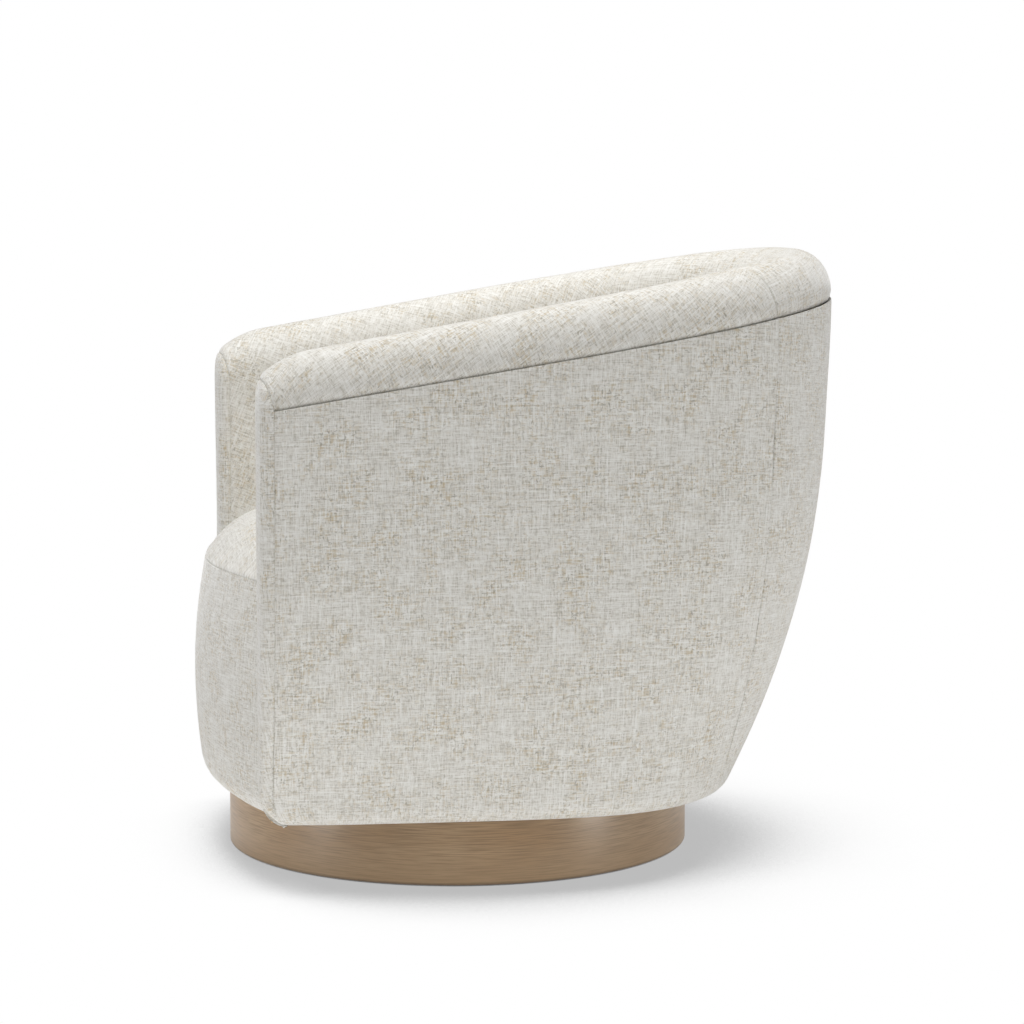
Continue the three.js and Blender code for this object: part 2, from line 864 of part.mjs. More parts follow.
function frontRail() {
  const foot = boardTop + fit;
  return loft(frontStations(), ({ x }) => {
    const low = frontRailOut(x, foot);
    const high = frontRailOut(x, deckHeight);
    return [
      [low - frontRailThickness, foot],
      [low, foot],
      [high, deckHeight],
      [high - frontRailThickness, deckHeight],
    ];
  });
}

// Foam between the front rail and the front cover, from the bottom board up to the spring pad.
function frontFoam() {
  return loft(frontStations(), ({ x }) => {
    const outAt = (up) => frontOut(x, up);
    const { start } = rollOf(outAt);
    const wall = wallHeights(padTop, start).map((up) => [outAt(up) - coverThickness - foamRelief, up]);
    const low = frontRailOut(x, boardTop + fit) + fit;
    const high = frontRailOut(x, deckHeight) + fit;
    return [...wall, [low, start], [high, padTop]];
  });
}

// Closed outline of points seen from above: a bowed front between two corners, then round the
// barrel wall. frontAt gives the front's reach, and outAt the distance from the wall's middle line.
function roundOutline(halfWidth, frontAt, outAt) {
  const front = [];
  for (let i = 0; i <= frontSteps; i++) {
    const x = lerp(-halfWidth, halfWidth, i / frontSteps);
    front.push([x, -frontAt(x)]);
  }
  const run = (curveStartY + frontAt(halfWidth)) / (curveStartY - armFrontY);
  const straight = barrelStations(lerp(curveShare, 1, run), curveShare, straightSteps).slice(1);
  const bend = barrelStations(curveShare, jointShare, bendSteps).slice(1);
  const back = barrelStations(jointShare, -jointShare, backSteps).slice(1, -1);
  const half = [...straight, ...bend].map((station) => pointOut(station, outAt(station)));
  const mirrored = half.map(([x, y]) => [-x, y]).reverse();
  return [...front, ...half, ...back.map((station) => pointOut(station, outAt(station))), ...mirrored];
}

function pointOut(station, out) {
  return [station.x + station.nx * out, station.y + station.ny * out];
}

// Outline of the space between the arms and the inside back, drawn in by a margin.
function seatOutline(margin) {
  return roundOutline(
    seatHalfWidth - margin,
    (x) => frontOut(x, seatSeamHeight) - margin,
    (station) => insideOut(station, tuckHeight) - fit - margin,
  );
}

// Crown of the seat along a line from an edge in to the middle, as [reach, height] points.
function crownLine(reach, inset) {
  const line = domeShares.map((share) => {
    const lift = Math.max(1 - share ** domeEdgePower, 0) ** (1 / domeRollPower);
    return [reach * share, seatSeamHeight + seatRise * lift];
  });
  line.push([0, seatSeamHeight + seatRise]);
  const moved = offsetLine(line.reverse(), inset);
  moved[0][0] = 0;
  const rim = moved[moved.length - 1];
  rim[1] = seatSeamHeight;
  return moved;
}

// Point of a crown line, on the way from the middle of the seat to a point of its outline.
function crownPoint([x, y], [along, up]) {
  const reach = Math.hypot(x, y);
  return [(x * along) / reach, (y * along) / reach, up];
}

// Solid whose faces run from a top point, ring by ring, to a bottom point.
function closedRings(top, rings, bottom) {
  const count = rings[0].length;
  const positions = [top, ...rings.flat(), bottom].flat();
  const index = [];
  const low = rings.length * count + 1;
  for (let j = 0; j < count; j++) {
    const next = (j + 1) % count;
    index.push(0, 1 + j, 1 + next);
    for (let i = 0; i + 1 < rings.length; i++) {
      const a = 1 + i * count + j;
      const b = 1 + i * count + next;
      index.push(a, a + count, b + count, a, b + count, b);
    }
    index.push(low, low - count + next, low - count + j);
  }
  return closedMesh(positions, index);
}

function crownRings(edge, inset) {
  const lines = edge.map(([x, y]) => crownLine(Math.hypot(x, y), inset));
  return lines[0].slice(1).map((_, i) => edge.map((point, j) => crownPoint(point, lines[j][i + 1])));
}

function seatCover() {
  const edge = seatOutline(0);
  const outer = crownRings(edge, 0);
  const inner = crownRings(edge, coverThickness).reverse();
  const top = seatSeamHeight + seatRise;
  return closedRings([0, 0, top], [...outer, ...inner], [0, 0, top - coverThickness]);
}

function seatFoam() {
  const edge = seatOutline(0);
  const inset = coverThickness + fit;
  const crown = crownRings(edge, inset);
  const rim = crown[crown.length - 1];
  const foot = rim.map(([x, y]) => [x, y, padTop + fit]);
  const top = seatSeamHeight + seatRise - inset;
  return closedRings([0, 0, top], [...crown, foot], [0, 0, padTop + fit]);
}

// Zigzag spring over the seat's frame, with the clips that hold its two ends on the rails.
function seatSpring(x) {
  const front = frontRailThickness / 2 - frontRailOut(x, deckHeight);
  const back = seatRailMiddle(x);
  const steps = springBends * springStepsPerBend;
  const low = springBottom + springWire / 2;
  const points = [];
  for (let i = 0; i <= steps; i++) {
    const share = i / steps;
    const swing = springSwing * Math.sin(share * springBends * Math.PI * 2);
    const rise = springArch * Math.sin(share * Math.PI);
    points.push(new THREE.Vector3(x + swing, lerp(front, back, share), low + rise));
  }
  const section = new THREE.Shape(circlePath(0, 0, springWire / 2, springSides).getPoints());
  const path = new THREE.CatmullRomCurve3(points);
  const wire = new THREE.ExtrudeGeometry(section, { steps, extrudePath: path, bevelEnabled: false });
  const clip = new THREE.BoxGeometry(clipLength, clipWidth, clipHeight);
  clip.translate(x, 0, springBottom + clipHeight / 2);
  const frontClip = toSolid(clip.clone().translate(0, front, 0));
  const backClip = toSolid(clip.clone().translate(0, back, 0));
  return fromSolid(toSolid(wire).add(frontClip).add(backClip));
}

// Middle of the back seat rail's upper face, at a distance across from the middle of the chair.
function seatRailMiddle(x) {
  let low = 0;
  let high = curveShare;
  let y = 0;
  for (let i = 0; i < searchSteps; i++) {
    const share = (low + high) / 2;
    const station = barrelStation(share);
    const out = postInner(station, deckHeight - seatRailHeight) - fit - seatRailDepth / 2;
    const [across, behind] = pointOut(station, out);
    y = behind;
    if (across < Math.abs(x)) low = share;
    else high = share;
  }
  return y;
}

// Outline of the bottom board: under the seat's front, out under the arms and round the back.
function boardOutline() {
  const front = frontStations().map(({ x }) => [x, -rollOf((up) => frontOut(x, up)).middle]);
  const left = armStations(1).slice(0, -1).map(boardEdge);
  const right = armStations(-1).slice(0, -1).map(boardEdge).reverse();
  return [...front, ...left, ...backStations().map(boardEdge), ...right];
}

// How far out the bottom board reaches below the wall.
function boardOut(station) {
  return rollOf((up) => outsideOut(station, up)).middle;
}

function boardEdge(station) {
  return pointOut(station, boardOut(station));
}

function bottomBoard() {
  const shape = outline(boardOutline());
  shape.holes.push(circlePath(0, 0, rivetClearance, rivetSides));
  for (const [x, y] of corners(swivelHoleReach)) {
    shape.holes.push(circlePath(x, y, fastenerRadius + fit, smallSides));
  }
  return plate(shape, boardBottom, boardTop);
}

// Black cloth under the bottom board, inside the turned-in covers and round the swivel's plate.
function dustCover() {
  const margin = bottomTuck + fit * 2;
  const shape = outline(
    roundOutline(
      wallSpan + boardOut(barrelStation(1)) - margin,
      (x) => rollOf((up) => frontOut(x, up)).middle - margin,
      (station) => boardOut(station) - margin,
    ),
  );
  const hole = swivelPlateSize / 2 + fit;
  shape.holes.push(new THREE.Path(toVectors(corners(hole))));
  const top = boardBottom - fit;
  return plate(shape, top - dustCoverThickness, top);
}

// Stations of a side seat rail: along the arm and round the bend to the joint with the back one.
function sideRailStations(side) {
  const straight = barrelStations(side, side * curveShare, 1);
  const bent = barrelStations(side * curveShare, side * seatRailJointShare, railBendSteps).slice(1);
  const last = bent.pop();
  return [...straight, ...bent, slideStation(last, fit / 2)];
}

// Stations of the back seat rail, with one at each back post.
function backRailStations() {
  const toPost = barrelStations(seatRailJointShare, backPostShare, railBendSteps);
  const across = barrelStations(backPostShare, -backPostShare, backSteps / 2).slice(1);
  const fromPost = barrelStations(-backPostShare, -seatRailJointShare, railBendSteps).slice(1);
  const first = toPost.shift();
  const last = fromPost.pop();
  const between = [...toPost, ...across, ...fromPost];
  return [slideStation(first, -fit / 2), ...between, slideStation(last, -fit / 2)];
}

function buildSeat() {
  place(seatShell, "bottom_board", bottomBoard(), "frameWood");
  place(seatShell, "dust_cover", dustCover(), "cambric");
  place(seatShell, "front_rail", frontRail(), "frameWood");
  place(seatShell, "seat_front_foam", frontFoam(), "foam");
  place(seatShell, "seat_front_cover", frontCover(), "fabric");
  place(seatShell, "seat_rail_left", seatRail(sideRailStations(1)), "frameWood");
  place(seatShell, "seat_rail_right", seatRail(sideRailStations(-1)), "frameWood");
  place(seatShell, "seat_rail_back", seatRail(backRailStations()), "frameWood");
  for (let i = 0; i < springCount; i++) {
    const x = (i - (springCount - 1) / 2) * springSpacing;
    place(seatShell, `seat_spring_${i + 1}`, seatSpring(x), "steel");
  }
  place(seatShell, "spring_pad", plate(outline(seatOutline(springPadMargin)), padBottom, padTop), "foam");
  place(seatShell, "seat_foam", seatFoam(), "foam");
  place(seatShell, "seat_cover", seatCover(), "fabric");
}

buildPlinth();
buildSwivel();
buildWall();
buildSeat();

// The origin goes to the middle of the footprint.
chair.updateMatrixWorld(true);
const middle = new THREE.Box3().setFromObject(chair).getCenter(new THREE.Vector3());
for (const group of [base, ballRace, seatShell]) group.position.y = -middle.y;

export default chair;
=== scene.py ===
"""Dresses the swivel barrel chair: its woven covers, its oak plinth, the floor, light and camera.

Metres, +Z up. The wall, seat and plinth follow the formulas that the CAD model follows, and take
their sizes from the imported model. Chair space is that model's space, moved so that the swivel
axis is at X = 0 and Y = 0. The covers are fine grids of points, one for each sewn panel.
"""

import json
import math

import bpy
import numpy as np
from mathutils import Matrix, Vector, noise


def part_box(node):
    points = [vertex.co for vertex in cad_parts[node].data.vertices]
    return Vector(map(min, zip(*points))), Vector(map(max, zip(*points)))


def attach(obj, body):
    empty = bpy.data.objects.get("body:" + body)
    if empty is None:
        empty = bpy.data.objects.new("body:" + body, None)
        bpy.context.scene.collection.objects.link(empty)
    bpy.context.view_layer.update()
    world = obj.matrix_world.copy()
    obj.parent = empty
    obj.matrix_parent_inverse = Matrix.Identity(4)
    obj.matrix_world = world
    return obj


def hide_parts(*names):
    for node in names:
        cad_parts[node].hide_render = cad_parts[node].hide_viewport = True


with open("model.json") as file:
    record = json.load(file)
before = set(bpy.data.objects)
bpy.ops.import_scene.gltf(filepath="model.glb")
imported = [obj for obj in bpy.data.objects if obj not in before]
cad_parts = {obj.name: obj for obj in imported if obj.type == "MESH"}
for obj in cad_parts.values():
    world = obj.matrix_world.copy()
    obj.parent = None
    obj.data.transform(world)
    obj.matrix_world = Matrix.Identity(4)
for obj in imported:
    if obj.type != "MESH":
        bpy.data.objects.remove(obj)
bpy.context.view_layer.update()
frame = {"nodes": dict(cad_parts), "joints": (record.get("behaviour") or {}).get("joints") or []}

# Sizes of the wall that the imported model's boxes don't give
CURVE_START_Y = 0.055
ARM_END_RUN = 0.045
ARM_END_RADIUS = 0.095
SEAM_OVERHANG = 0.003
SIDE_FLARE = 0.049
FRONT_FLARE = 0.02
BACK_FLARE = 0.137
BOTTOM_ROLL = 0.028
BOTTOM_TUCK = 0.018
BACK_BELLY = 0.062
FACING_DEPTH = 0.015
FACING_ROUND = 0.014
FACING_CROWN_ROUND = 0.026
FACING_FOOT_RISE = 0.044
FIT = 0.0003
PLAN_POWER = 2.26
FLARE_POWER = 2.78
CAP_POWER = 0.9
CROWN_SLOPE = 0.176
SEAM_SLOPE = 0.163
CURVE_SHARE = 0.63
LEAN_STEP_SHARE = 0.1
JOINT_SHARE = 0.345
JOINT_SLANT = 0.28
FACING_FOOT_SHARE = 0.12

# Sizes of the seat
SEAT_RISE = 0.063
FRONT_BELLY = 0.0145
FRONT_BELLY_HEIGHT = 0.213
FRONT_BELLY_RUN = 0.145
FRONT_SEAM_BOW = 0.6
FRONT_FOOT_BOW = 0.75
DOME_EDGE_POWER = 7
DOME_ROLL_POWER = 1.3

# Plinth
PLINTH_WALL = 0.025
PLINTH_FOOT_ROUND = 0.0028
PLINTH_TOP_ROUND = 0.002
PLINTH_SIDES = 240
PLINTH_FOOT_STEPS = 8
PLINTH_TOP_STEPS = 5

# Covers
CLOTH_THICKNESS = 0.0012
GRID_STEP = 0.0065
CROWN_STEP = 0.012
EDGE_PLACES = (0, 0.0006, 0.0014, 0.0024, 0.0038, 0.0056, 0.008, 0.0115)
SEAM_OVERLAP = 0.0004
PANEL_FULLNESS = 0.0028
PANEL_FULLNESS_REACH = 0.13
FOOT_SEAM_RUN = 0.019
FOOT_SEAM_REACH = 0.09
SLANT_REACH = 0.15
SLANT_FADE = 0.12
HEM = 0.005
SWELL_HEIGHT = 0.0009
SWELL_LENGTH = 0.11
PUCKER_HEIGHT = 0.00035
PUCKER_LENGTH = 0.016
PUCKER_REACH = 0.02
PILLOW_HEIGHT = 0.0015
MERGE_DISTANCE = 0.00001
SMALLEST_LENGTH = 1e-12
DUST_SAG = 0.0012
FAR = 1.0
CLOTH_SHIFT = 3.7
NOISE_SHIFT = 5.3
MITRE_SHARE = 0.57
MITRE_POWER = 1.15
FACING_RING_SHARES = (0, 0.025, 0.06, 0.11, 0.18, 0.27, 0.38, 0.52, 0.68, 0.84, 1)

# Grooves that the cloth rounds into at a seam: depth, and how far from the seam they reach
TOP_GROOVE = (0.0042, 0.018)
PANEL_GROOVE = (0.0006, 0.0025)
FACING_GROOVE = (0.0012, 0.005)
TOP_JOINT_GROOVE = (0.0034, 0.0026)
JOINT_GROOVE = (0.0013, 0.004)
SEAT_GROOVE = (0.0003, 0.002)
FRONT_SIDE_GROOVE = (0.0012, 0.02)
GROOVE_FADE_RISE = 0.03
OPEN_EDGE = None

# Cloth simulation that fills the pads out
HOLD_REACH = 0.012
CLOTH_QUALITY = 5
CLOTH_MASS = 0.3
CLOTH_STIFFNESS = 15
CLOTH_PRESSURE = 4
CLOTH_FRAMES = 20
FILL_LIMIT = 0.002
FILLED_PANELS = ("seat_crown",)

# Streaks that run both ways in the cloth: length, width, and the seeds down and across
THREADS = (0.034, 0.0019, 0, 11)
FIBRES = (0.007, 0.0011, 29, 41)
TAN_SLUBS = (0.014, 0.0026, 71, 53)
PALE_SLUBS = (0.04, 0.0032, 67, 61)
FLECKS = (0.0065, 0.0026, 97, 83)

# Streaks and spots that run one way: size across, size down, and seed
PATCHES = (0.011, 0.011, 23)
BLOTCHES = (0.045, 0.045, 37)
WOOD_BANDS = (0.35, 0.014, 3)
WOOD_FIBRES = (0.045, 0.0014, 17)
WOOD_PATCHES = (0.11, 0.05, 43)

# How a pattern's low and high values spread, and to what share they go
PATCH_SPREAD = (0.3, 0.7, -0.1, 0.1)
FIBRE_SPREAD = (0.7, 1.3, -0.3, 0.3)
LIGHT_SPREAD = (1.02, 1.36)
DARK_SPREAD = (0.98, 0.6)
BLOTCH_SPREAD = (0.38, 0.62)
TAN_SPREAD = (0.98, 1.3)
SLUB_SPREAD = (0.58, 0.7, 0, 0.6)
FLECK_SPREAD = (0.59, 0.69, 0, 0.75)
FLECK_BLOTCH_SPREAD = (0, 1, 0.3, 1)
WOOD_BAND_SPREAD = (0.22, 0.78)
WOOD_WARM_SPREAD = (0.4, 0.7, 0, 0.7)
WOOD_PORE_SPREAD = (0.57, 0.36, 0, 0.85)
INNER_SPREAD = (0.3, 0.7)

# Finish of cloth and wood, with the shade and light that are painted into their colours
THREAD_HEIGHT = 0.0003
# Painted shade in a seam's groove: the groove depth at which it is full, and its share
CREASE_SHADE_DEPTH = 0.006
CREASE_SHADE_SHARE = 0.22
TOP_GRAIN_TURN = 0.38
CLOTH_ROUGHNESS = 0.95
CLOTH_SHINE = 0.2
CLOTH_SHEEN = 0.4
CLOTH_SHEEN_ROUGHNESS = 0.45
WOOD_RELIEF = 0.0001
WOOD_ROUGHNESS = 0.34
# Painted shade at the plinth's very foot, and painted bounce light paler towards the foot: heights
# and shares
FOOT_SHADE_HEIGHTS = (0.0015, 0.0055)
FOOT_SHADE_SHARE = 0.85
BOUNCE_LIGHT_HEIGHTS = (0.05, 0.005)
BOUNCE_LIGHT_SHARE = 0.5
INNER_RELIEF = 0.0003
GRAIN_DEPTH = 1
STREAK_DETAIL = 2
WOOD_FIBRE_DETAIL = 4
INNER_DETAIL = 3

# Studio
FLOOR_SIZE = 40
FLOOR_LIFT = 0.317
SHADOW_REACH = 0.5
SHADOW_SAMPLES = 16
SHADOW_LEAN_SHARE = 0.06
SHADOW_SHARES = (0.44, 0.7)
SHADOW_POWER = 1.94
SHADOW_CORE_SHARE = 0.503
CONTACT_SHARES = (0, 0.12)
CONTACT_CORE_SHARE = 0.1
WORLD_LIGHT = 0.22

# Each lamp's name, place, aim, size, watts, and whether it shows in reflections only
LAMPS = (
    ("top_lamp", (0.4, -0.3, 6.0), (0, 0, 0.3), (1.2, 1.2), 203, False),
    ("seat_lamp", (0, -0.05, 1.75), (0, -0.05, 0), (0.5, 0.5), 4.4, False),
    ("back_lamp", (1.53, 2.84, 0.3), (0.1, 0, 0.1), (0.25, 0.5), 2.9, False),
    ("left_shine", (0.75, -3.1, 0.2), (0.2, -0.2, 0.04), (0.25, 0.35), 24, True),
    ("right_shine", (1.7, 2.75, 0.2), (0.25, 0.12, 0.04), (0.25, 0.35), 26, True),
)

UP = np.array([0, 0, 1])
BACK = np.array([0, 1, 0])

# Each cover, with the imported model's nodes that it stands for
PANELS = {
    "outside_arm_left": ("outside_arm_cover_left",),
    "outside_arm_right": ("outside_arm_cover_right",),
    "outside_back": ("outside_back_cover",),
    "arm_top_left": ("inside_arm_cover_left", "arm_foam_left"),
    "arm_top_right": ("inside_arm_cover_right", "arm_foam_right"),
    "back_top": ("inside_back_cover", "back_foam"),
    "arm_front_left": ("arm_front_facing_left",),
    "arm_front_right": ("arm_front_facing_right",),
    "seat_front": ("seat_front_cover", "seat_front_foam"),
    "seat_crown": ("seat_cover", "seat_foam", "spring_pad"),
}

# Material slots, each with how the names of its nodes start; the rest are cloth
FRAME_WOOD_STARTS = (
    "plinth_",
    "bottom_board",
    "front_rail",
    "front_post",
    "side_post",
    "back_post",
    "arm_rail",
    "back_rail",
    "seat_rail",
)
NODE_SLOTS = (
    ("plinth_wood", ("plinth_ring",)),
    ("frame_wood", FRAME_WOOD_STARTS),
    ("nylon", ("glide",)),
    ("steel", ("swivel", "seat_spring")),
    ("zinc", ("lower_plate_screw", "upper_plate_bolt")),
    ("dust_cloth", ("dust_cover",)),
    ("foam", ("spring_pad", "seat_foam", "seat_front_foam", "arm_foam", "back_foam")),
    ("fabric", ("",)),
)

# Counts
SECTION_STEPS = 240
ROLL_STEPS = 30
OUTLINE_STEPS = 90
MITRE_STEPS = 8
FACING_ROWS = 90
FACING_CAP_ROWS = 16
FACING_COLUMNS = 10
DUST_RINGS = 14

# Camera, from the photograph's perspective
CAMERA_PLACE = (3.4294, -0.5125, 0.7569)
CAMERA_HEADING = 170.375
CAMERA_PITCH = 0.10025
PHOTO_PIXELS = 1024
FOCAL_PIXELS = 2799
SENSOR_WIDTH = 36

axis = next(joint for joint in frame["joints"] if joint["name"] == "swivel")
AXIS_Y = axis["pos_m"][1]

facing_low, facing_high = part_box("arm_front_facing_left")
inner_low, inner_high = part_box("inside_back_cover")
outer_low, outer_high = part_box("outside_back_cover")
seat_low, seat_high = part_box("seat_cover")
ring_low, ring_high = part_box("plinth_ring")

WALL_HALF = (facing_high.x - facing_low.x - SEAM_OVERHANG) / 2
WALL_SPAN = facing_low.x + WALL_HALF
ARM_FRONT_Y = facing_high.y - AXIS_Y + FIT
BACK_Y = inner_high.y - AXIS_Y - WALL_HALF - SEAM_OVERHANG
BACK_REACH = BACK_Y - CURVE_START_Y
CROWN_HEIGHT = inner_high.z - CROWN_SLOPE * BACK_Y
SHELL_BOTTOM = outer_low.z
SEAM_HEIGHT = outer_high.z + FIT - SEAM_SLOPE * (BACK_Y + WALL_HALF)
TUCK_HEIGHT = inner_low.z
SEAT_TOP = seat_high.z
SEAT_SEAM_HEIGHT = SEAT_TOP - SEAT_RISE
SEAT_HALF_WIDTH = seat_high.x
FRONT_REACH = AXIS_Y - seat_low.y
PLINTH_RADIUS = (ring_high.x - ring_low.x) / 2

WHITE = (1, 1, 1, 1)
CLOTH_COLOUR = (0.82, 0.80, 0.745, 1)
CLOTH_LIGHT = (0.94, 0.93, 0.89, 1)
CLOTH_DARK = (0.57, 0.54, 0.475, 1)
CLOTH_TAN = (0.6, 0.505, 0.345, 1)
CLOTH_FLECK = (0.36, 0.325, 0.26, 1)
CLOTH_SLUB = (0.97, 0.965, 0.93, 1)
# Colour of the painted shade deep in a seam's groove
CLOTH_CREASE_SHADE = (0.2, 0.19, 0.16, 1)
WOOD_DARK = (0.465, 0.31, 0.17, 1)
WOOD_LIGHT = (0.545, 0.375, 0.215, 1)
WOOD_WARM = (0.44, 0.265, 0.125, 1)
# Painted bounce light towards the plinth's foot, then painted shade at its lowest millimetres
WOOD_BOUNCE_LIGHT = (0.66, 0.47, 0.29, 1)
WOOD_FOOT_SHADE = (0.03, 0.018, 0.01, 1)
WOOD_PORE = (0.3, 0.19, 0.095, 1)
FLOOR_COLOUR = (0.95, 0.95, 0.95, 1)

# Finishes inside and under the chair: two colours, grain size, roughness and metallic share
INNER_FINISHES = {
    "foam": ((0.78, 0.7, 0.45, 1), (0.86, 0.8, 0.56, 1), (0.004,) * 3, 0.95, 0),
    "dust_cloth": ((0.015, 0.015, 0.015, 1), (0.035, 0.035, 0.035, 1), (0.001,) * 3, 0.9, 0),
    "frame_wood": ((0.5, 0.33, 0.17, 1), (0.68, 0.5, 0.3, 1), (0.08, 0.006, 0.006), 0.7, 0),
    "steel": ((0.34, 0.35, 0.36, 1), (0.44, 0.45, 0.46, 1), (0.02, 0.002, 0.002), 0.4, 0.9),
    "zinc": ((0.55, 0.56, 0.58, 1), (0.68, 0.69, 0.71, 1), (0.003,) * 3, 0.35, 0.9),
    "nylon": ((0.02, 0.02, 0.02, 1), (0.035, 0.035, 0.035, 1), (0.002,) * 3, 0.6, 0),
}

# General shapes


def flat(grid):
    return grid.reshape(-1, grid.shape[-1])


def lerp(start, end, share):
    return start + (end - start) * share


def smooth(share):
    share = np.clip(share, 0, 1)
    return share * share * (3 - 2 * share)


def signed_power(value, power):
    return np.sign(value) * np.abs(value) ** power


def line_lengths(line):
    """Distance along a line of points, at each of them."""
    steps = np.linalg.norm(np.diff(line, axis=0), axis=1)
    return np.concatenate([[0], np.cumsum(steps)])


def along_line(line, places):
    """Points at distances along a line."""
    lengths = line_lengths(line)
    return np.stack([np.interp(places, lengths, line[:, k]) for k in range(line.shape[1])], axis=1)


def spaced(length, step):
    """Distances from 0 to length, close together at both ends and about a step apart between."""
    lead = list(EDGE_PLACES)
    inner = length - 2 * lead[-1]
    count = max(round(inner / step), 1)
    middle = [lead[-1] + inner * i / count for i in range(1, count)]
    tail = [length - place for place in reversed(lead)]
    return np.array(lead + middle + tail)


def arc(x, y, radius, start, end, steps):
    angles = np.linspace(start, end, steps + 1)
    return np.stack([x + radius * np.cos(angles), y + radius * np.sin(angles)], axis=1)


# Barrel wall


def wall_place(share):
    """Point on the wall's middle line and direction out of the chair there.

    The last two values are how far the place is round to the back, and how far to an arm's front.
    """
    side = -1 if share < 0 else 1
    along = abs(share)
    if along >= CURVE_SHARE:
        run = (along - CURVE_SHARE) / (1 - CURVE_SHARE)
        return side * WALL_SPAN, lerp(CURVE_START_Y, ARM_FRONT_Y, run), side, 0, 0, run**2
    turn = (1 - along / CURVE_SHARE) * math.pi / 2
    bend = 2 / PLAN_POWER
    across = max(math.cos(turn), 0) ** (2 - bend) / WALL_SPAN
    behind = math.sin(turn) ** (2 - bend) / BACK_REACH
    size = math.hypot(across, behind)
    x = side * WALL_SPAN * max(math.cos(turn), 0) ** bend
    y = CURVE_START_Y + BACK_REACH * math.sin(turn) ** bend
    return x, y, side * across / size, behind / size, (behind / size) ** 2, 0


def seam_at(place):
    return SEAM_HEIGHT + SEAM_SLOPE * (place[1] + place[3] * WALL_HALF)


def crown_at(place):
    run = max(ARM_FRONT_Y + ARM_END_RUN - place[1], 0)
    drop = ARM_END_RADIUS - math.sqrt(ARM_END_RADIUS**2 - run**2)
    return CROWN_HEIGHT + CROWN_SLOPE * place[1] - drop


def outside_out(place, up):
    """How far the outside face is from the wall's middle line, at a height."""
    seam = seam_at(place)
    drop = np.maximum((seam - up) / (seam - SHELL_BOTTOM), 0)
    flare = lerp(SIDE_FLARE, BACK_FLARE, place[4]) + FRONT_FLARE * place[5]
    fullness = PANEL_FULLNESS * smooth(1 - (seam - up) / PANEL_FULLNESS_REACH)
    return WALL_HALF + fullness - flare * drop**FLARE_POWER


def roll_of(out_at):
    """Where a wall's bottom roll starts, its lean there, and the middle of the roll."""
    step = BOTTOM_ROLL * LEAN_STEP_SHARE
    sample = SHELL_BOTTOM + BOTTOM_ROLL
    lean = math.atan((out_at(sample + step) - out_at(sample)) / step)
    start = SHELL_BOTTOM + BOTTOM_ROLL * (1 - math.sin(lean))
    return start, lean, out_at(start) - BOTTOM_ROLL * math.cos(lean)


def rolled_line(out_at, top):
    """Points [out, up] down a face from its top, round its bottom roll and in under the board."""
    start, lean, middle = roll_of(out_at)
    heights = np.linspace(top, start, SECTION_STEPS)
    face = np.stack([out_at(heights), heights], axis=1)
    roll = arc(middle, SHELL_BOTTOM + BOTTOM_ROLL, BOTTOM_ROLL, -lean, -math.pi / 2, ROLL_STEPS)
    return np.concatenate([face, roll[1:], [[middle - BOTTOM_TUCK, SHELL_BOTTOM]]])


def outside_line(place):
    return rolled_line(lambda up: outside_out(place, up), seam_at(place))


def outside_cloth_line(place):
    """The outside face, with the cloth carried on up behind the top's overhang."""
    return rolled_line(lambda up: outside_out(place, up), seam_at(place) + SEAM_OVERLAP)


def inside_out(place, up):
    seam = seam_at(place)
    swell = smooth((seam - up) / (seam - SEAT_TOP))
    return -WALL_HALF - BACK_BELLY * place[4] * swell


def cap_line(place):
    """Points [out, up] from the outer seam over the padded top to the inside at the same height."""
    seam = seam_at(place)
    angles = np.linspace(0, math.pi, SECTION_STEPS)
    out = WALL_HALF * signed_power(np.cos(angles), CAP_POWER)
    out = out + SEAM_OVERHANG * np.maximum(np.cos(angles), 0)
    up = seam + (crown_at(place) - seam) * np.sin(angles) ** CAP_POWER
    return np.stack([out, up], axis=1)


def inside_line(place, foot):
    """Points [out, up] from the outer seam over the padded top and down the inside to a foot."""
    heights = np.linspace(seam_at(place), foot, SECTION_STEPS)[1:]
    inside = np.stack([inside_out(place, heights), heights], axis=1)
    return np.concatenate([cap_line(place), inside])


def inside_cloth_line(place):
    return inside_line(place, TUCK_HEIGHT)


def wall_lengths(start, end):
    """Shares of the wall between two of them, with the distance along its middle line at each."""
    shares = np.linspace(start, end, SECTION_STEPS * 2)
    places = np.array([wall_place(share)[:2] for share in shares])
    return shares, line_lengths(places)


def wall_column(share, slant, line_at, downs, middle):
    """Points down a section of the wall, and the section's length.

    downs are the places on a section of the middle length. With a slant, the section moves along
    the wall as it goes down.
    """
    place = wall_place(share)
    line = line_at(place)
    length = line_lengths(line)[-1]
    points = np.zeros((len(downs), 3))
    for j, down in enumerate(downs):
        if slant:
            place = wall_place(share + slant * min(down, SLANT_REACH))
            line = line_at(place)
        out, up = along_line(line, [down / middle * line_lengths(line)[-1]])[0]
        points[j] = place[0] + place[2] * out, place[1] + place[3] * out, up
    return points, length


def wall_grid(start, end, line_at, slants=(0, 0)):
    """Grid of points over the wall between two shares of it, with each point's place on the cloth.

    Columns run along the wall and rows down the section. slants are how far the first and the
    last column move along the wall, in shares, for each metre down the section.
    """
    shares, lengths = wall_lengths(start, end)
    along = spaced(lengths[-1], GRID_STEP)
    columns = np.interp(along, lengths, shares)
    middle = line_lengths(line_at(wall_place(columns[len(columns) // 2])))[-1]
    downs = spaced(middle, GRID_STEP)
    points = np.zeros((len(along), len(downs), 3))
    grain = np.zeros((len(along), len(downs), 3))
    for i, share in enumerate(columns):
        slant = slants[0] * max(1 - along[i] / SLANT_FADE, 0)
        slant += slants[1] * max(1 - (along[-1] - along[i]) / SLANT_FADE, 0)
        points[i], length = wall_column(share, slant, line_at, downs, middle)
        grain[i, :, 0] = along[i]
        grain[i, :, 1] = (downs / middle - 1) * length
    return points, grain


# Round front end of an arm


